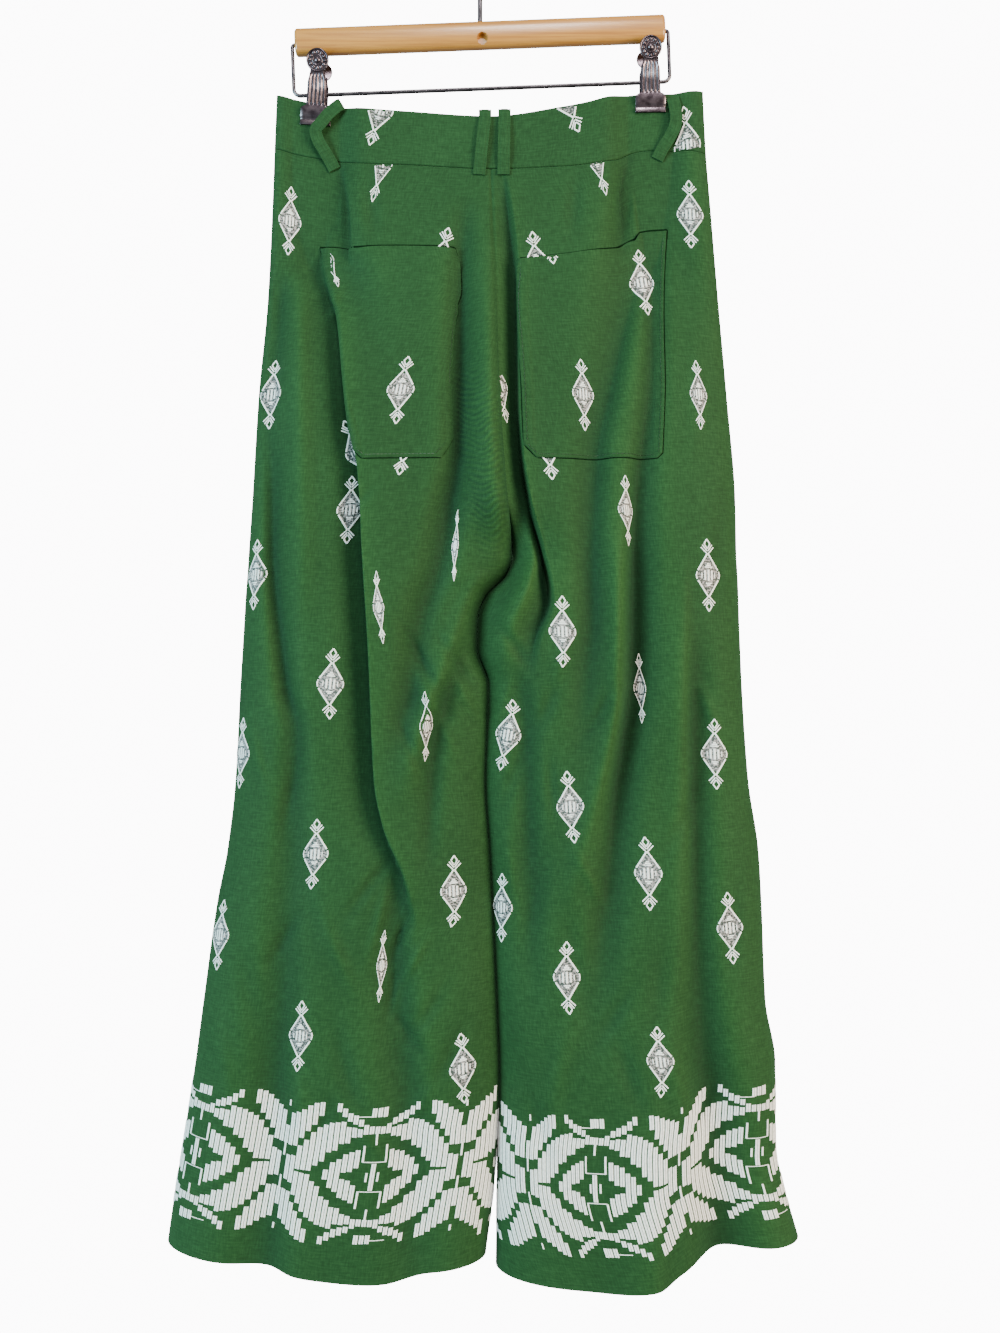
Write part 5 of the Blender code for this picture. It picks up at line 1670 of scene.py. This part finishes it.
keep(makeBar(), "pale_wood", "hanger_bar")
keep(makeWire(), "grey_steel", "hanger_wire")
keep(makeHook(), "grey_steel", "hanger_hook")


# The clips: two pressed plates each, with a fluted body, a folded jaw and a round finger grip

clip = {
    "lean": (math.radians(3.5), math.radians(-1.0)), "pivot": 0.029, "plate": 0.0009, "tall": 0.050,
    "flute": 0.00055, "flutes": 5, "fluteFrom": (0.0165, 0.020), "fluteTo": (0.041, 0.046),
    "side": 0.86, "sideIn": 0.0014, "jawSide": 0.3,
    "lip": (0.0280, 0.0018, 0.0044), "lipAt": (0.0031, 0.0022), "lipRound": 0.0006,
    "gripAt": 0.0557, "grip": 0.0103, "splay": 0.20, "rings": ((0.0094, 0.0008), (0.0043, 0.0005)),
    "bead": 0.0014, "middleBead": 0.0026, "beadRing": 0.0068, "beads": 12,
    "spring": 0.0042, "springWire": 0.0006, "turns": 8, "turnSteps": 20, "springLong": 0.012,
}
clipBody = tableOf("rise half out", (
    (0, 13.7, 2.6), (5, 13.7, 2.6), (8, 13.7, 4.2), (14, 13.7, 5.2), (18, 9.2, 5.4), (29, 9, 5.7),
    (38, 8.6, 7.3), (44, 7, 8.6), (50, 5.8, 9.8),
))


def clipPlate(name, face):
    bpy.ops.mesh.primitive_grid_add(x_subdivisions=40, y_subdivisions=70, size=1)
    body = bpy.context.object
    body.name = name
    for vertex in body.data.vertices:
        share, rise = vertex.co.x * 2, (vertex.co.y + 0.5) * clip["tall"]
        half, out = float(read(clipBody, "half", rise)), float(read(clipBody, "out", rise))
        fluted = ease(*clip["fluteFrom"], rise) * (1 - ease(*clip["fluteTo"], rise)) * (abs(share) < 0.96)
        out += clip["flute"] * fluted * math.cos(share * math.pi * clip["flutes"])
        turnedIn = max(0.0, abs(share) - clip["side"]) / (1 - clip["side"])
        out -= clip["sideIn"] * turnedIn * (1 if rise > clip["fluteFrom"][0] else clip["jawSide"])
        vertex.co = (half * share, face * out, rise - clip["pivot"])
    addModifier(body, "SOLIDIFY", thickness=clip["plate"], offset=0)
    addModifier(body, "BEVEL", width=0.0002, segments=2, limit_method="ANGLE", angle_limit=math.radians(50))
    pieces = [bake(body, nickel)]
    out, up = clip["lipAt"]
    bpy.ops.mesh.primitive_cube_add(size=1, location=(0, face * out, up - clip["pivot"]))
    lip = bpy.context.object
    lip.dimensions = clip["lip"]
    bpy.ops.object.transform_apply(location=False, rotation=False, scale=True)
    addModifier(lip, "BEVEL", width=clip["lipRound"], segments=4)
    pieces.append(bake(lip, nickel))
    out = float(clipBody["out"][-1]) + (clip["gripAt"] - clip["tall"]) * clip["splay"]
    turn = -math.atan(clip["splay"]) - math.radians(90)
    seat = Matrix.Translation((0, face * out, clip["gripAt"] - clip["pivot"]))
    seat = seat @ Matrix.Rotation(face * turn, 4, "X")
    grip = cylinder(56, clip["grip"], clip["plate"] * 1.2)
    addModifier(grip, "BEVEL", width=0.0004, segments=3, limit_method="ANGLE")
    grip.matrix_world = seat
    pieces.append(bake(grip, nickel))

    def onGrip(x=0, y=0, flatter=1):
        raised = bpy.context.object
        raised.matrix_world = seat @ Matrix.Translation((x, y, clip["plate"] * 0.6)) @ Matrix.Diagonal(
            (1, 1, flatter, 1))
        pieces.append(bake(raised, nickel))

    for major, minor in clip["rings"]:
        bpy.ops.mesh.primitive_torus_add(major_radius=major, minor_radius=minor, major_segments=56,
                                         minor_segments=10)
        onGrip()
    beads = [(0, 0, clip["middleBead"])]
    for k in range(clip["beads"]):
        turn = k * 2 * math.pi / clip["beads"]
        beads.append((clip["beadRing"] * math.cos(turn), clip["beadRing"] * math.sin(turn), clip["bead"]))
    for x, y, size in beads:
        bpy.ops.mesh.primitive_uv_sphere_add(segments=16, ring_count=10, radius=size)
        onGrip(x, y, 0.6)
    return join(name, pieces)


def clipSpring(name):
    points = []
    steps = clip["turns"] * clip["turnSteps"]
    for k in range(steps + 1):
        turn = k * 2 * math.pi / clip["turnSteps"]
        points.append(((k / steps - 0.5) * clip["springLong"], clip["spring"] * math.cos(turn),
                       clip["spring"] * math.sin(turn)))
    return tube(name, points, clip["springWire"], wireSteel, 3)


for where, x, lean in zip(("left", "right"), cloth["clipAt"], clip["lean"]):
    along = (x - hanger["drop"] * math.sin(hanger["tilt"])) / math.cos(hanger["tilt"])
    pivot = Matrix.Translation(onHanger(along, -hanger["drop"]))
    for face, word in ((-1, "front"), (1, "rear")):
        plate = clipPlate(f"plate_{where}_{word}", face)
        plate.data.transform(pivot @ Matrix.Rotation(lean, 4, "Y"))
        keep(plate, "bright_steel", f"clip_{where}_{word}")
    spring = clipSpring(f"coil_{where}")
    spring.data.transform(pivot @ Matrix.Rotation(-hanger["tilt"], 4, "Y"))
    keep(spring, "grey_steel", f"clip_{where}_spring")
print("hanger and clips made")


def makeButton():
    look = buttonLook
    low, high = (Vector(side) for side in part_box("button"))
    middle, size = (low + high) / 2, high - low
    button = cylinder(64, size.x / 2, size.y, (-1, 0, 0), location=middle)
    button.name = "sewn_button"
    bpy.ops.object.mode_set(mode="EDIT")
    bpy.ops.mesh.select_all(action="DESELECT")
    shape = bmesh.from_edit_mesh(button.data)
    for face in shape.faces:
        face.select = face.normal.z > 0.9
    bmesh.update_edit_mesh(button.data)
    bpy.ops.mesh.inset(thickness=look["rim"])
    bpy.ops.transform.translate(value=(0, -look["dish"], 0))
    bpy.ops.object.mode_set(mode="OBJECT")
    addModifier(button, "BEVEL", width=look["round"], segments=3, limit_method="ANGLE")
    cutters = []
    for x in (-look["holeOut"], look["holeOut"]):
        for z in (-look["holeOut"], look["holeOut"]):
            place = middle + Vector((x, 0, z))
            cutters.append(cylinder(20, look["hole"], size.y * 3, (1, 0, 0), location=place))
            addModifier(button, "BOOLEAN", operation="DIFFERENCE", object=cutters[-1])
    made = [bake(button, horn, cutters)]
    top = size.y / 2 - look["threadIn"]
    out, deep = look["holeOut"], look["threadDeep"]
    for side in (-1, 1):  # two bars of sewing thread
        hole, x = side * out, side * look["threadOut"]
        line = [(hole, top - deep, -out), (x, top, -deep), (x, top, deep), (hole, top - deep, out)]
        line = [middle + Vector(point) for point in line]
        made.append(tube(f"thread_{side}", line, look["thread"], greenThread, 3))
    return join("sewn_button", made)


keep(makeButton(), "green_button", "button")
print("button made")

for name, sheet in loops.items():
    band = "band_" + name[5:] if "front" in name else "band_back"

# Light and camera

def addLight(name, place, aim, size, watts, colour):
    light = bpy.data.lights.new(name, "AREA")
    light.shape, light.size, light.energy, light.color = "DISK", size, watts, colour
    lamp = bpy.data.objects.new(name, light)
    lamp.location = place
    lamp.rotation_euler = (Vector(aim) - Vector(place)).to_track_quat("-Z", "Y").to_euler()
    bpy.context.scene.collection.objects.link(lamp)


lamps = {  # place, the point it looks at, size, watts and colour
    "warmRight": ((2.4, -1.8, -0.3), (0, 0, -0.75), 1.7, 225, (1.0, 0.88, 0.66)),
    "coolLeft": ((-2.4, -1.7, -0.5), (0, 0, -0.75), 1.5, 195, (0.54, 0.93, 1.0)),
    "above": ((0.2, -2.3, 1.7), (0, 0, -0.8), 0.8, 70, (1.0, 0.99, 0.97)),
    "behind": ((0.3, 2.4, 0.6), (0, 0, -0.6), 1.6, 40, (1.0, 0.98, 0.96)),
}
for name, values in lamps.items():
    addLight(name, *values)
world = bpy.data.worlds.new("studio")
world.use_nodes = True
tree = world.node_tree
shown = addNode(tree, "ShaderNodeBackground", {"Color": studio["wall"], "Strength": studio["shown"]})
soft = tree.nodes["Background"]
fill(tree, soft, {"Color": studio["softColour"], "Strength": studio["soft"]})
ray = addNode(tree, "ShaderNodeLightPath").outputs["Is Camera Ray"]
both = addNode(tree, "ShaderNodeMixShader", {0: ray, 1: soft.outputs[0], 2: shown.outputs[0]})
tree.links.new(both.outputs[0], tree.nodes["World Output"].inputs[0])
bpy.context.scene.world = world

camera = bpy.data.objects.new("camera", bpy.data.cameras.new("camera"))
camera.location = studio["camera"]
camera.rotation_euler = (math.radians(90), 0, 0)
camera.data.lens = studio["lens"]
bpy.context.scene.collection.objects.link(camera)
bpy.context.scene.camera = camera
print("stage set")
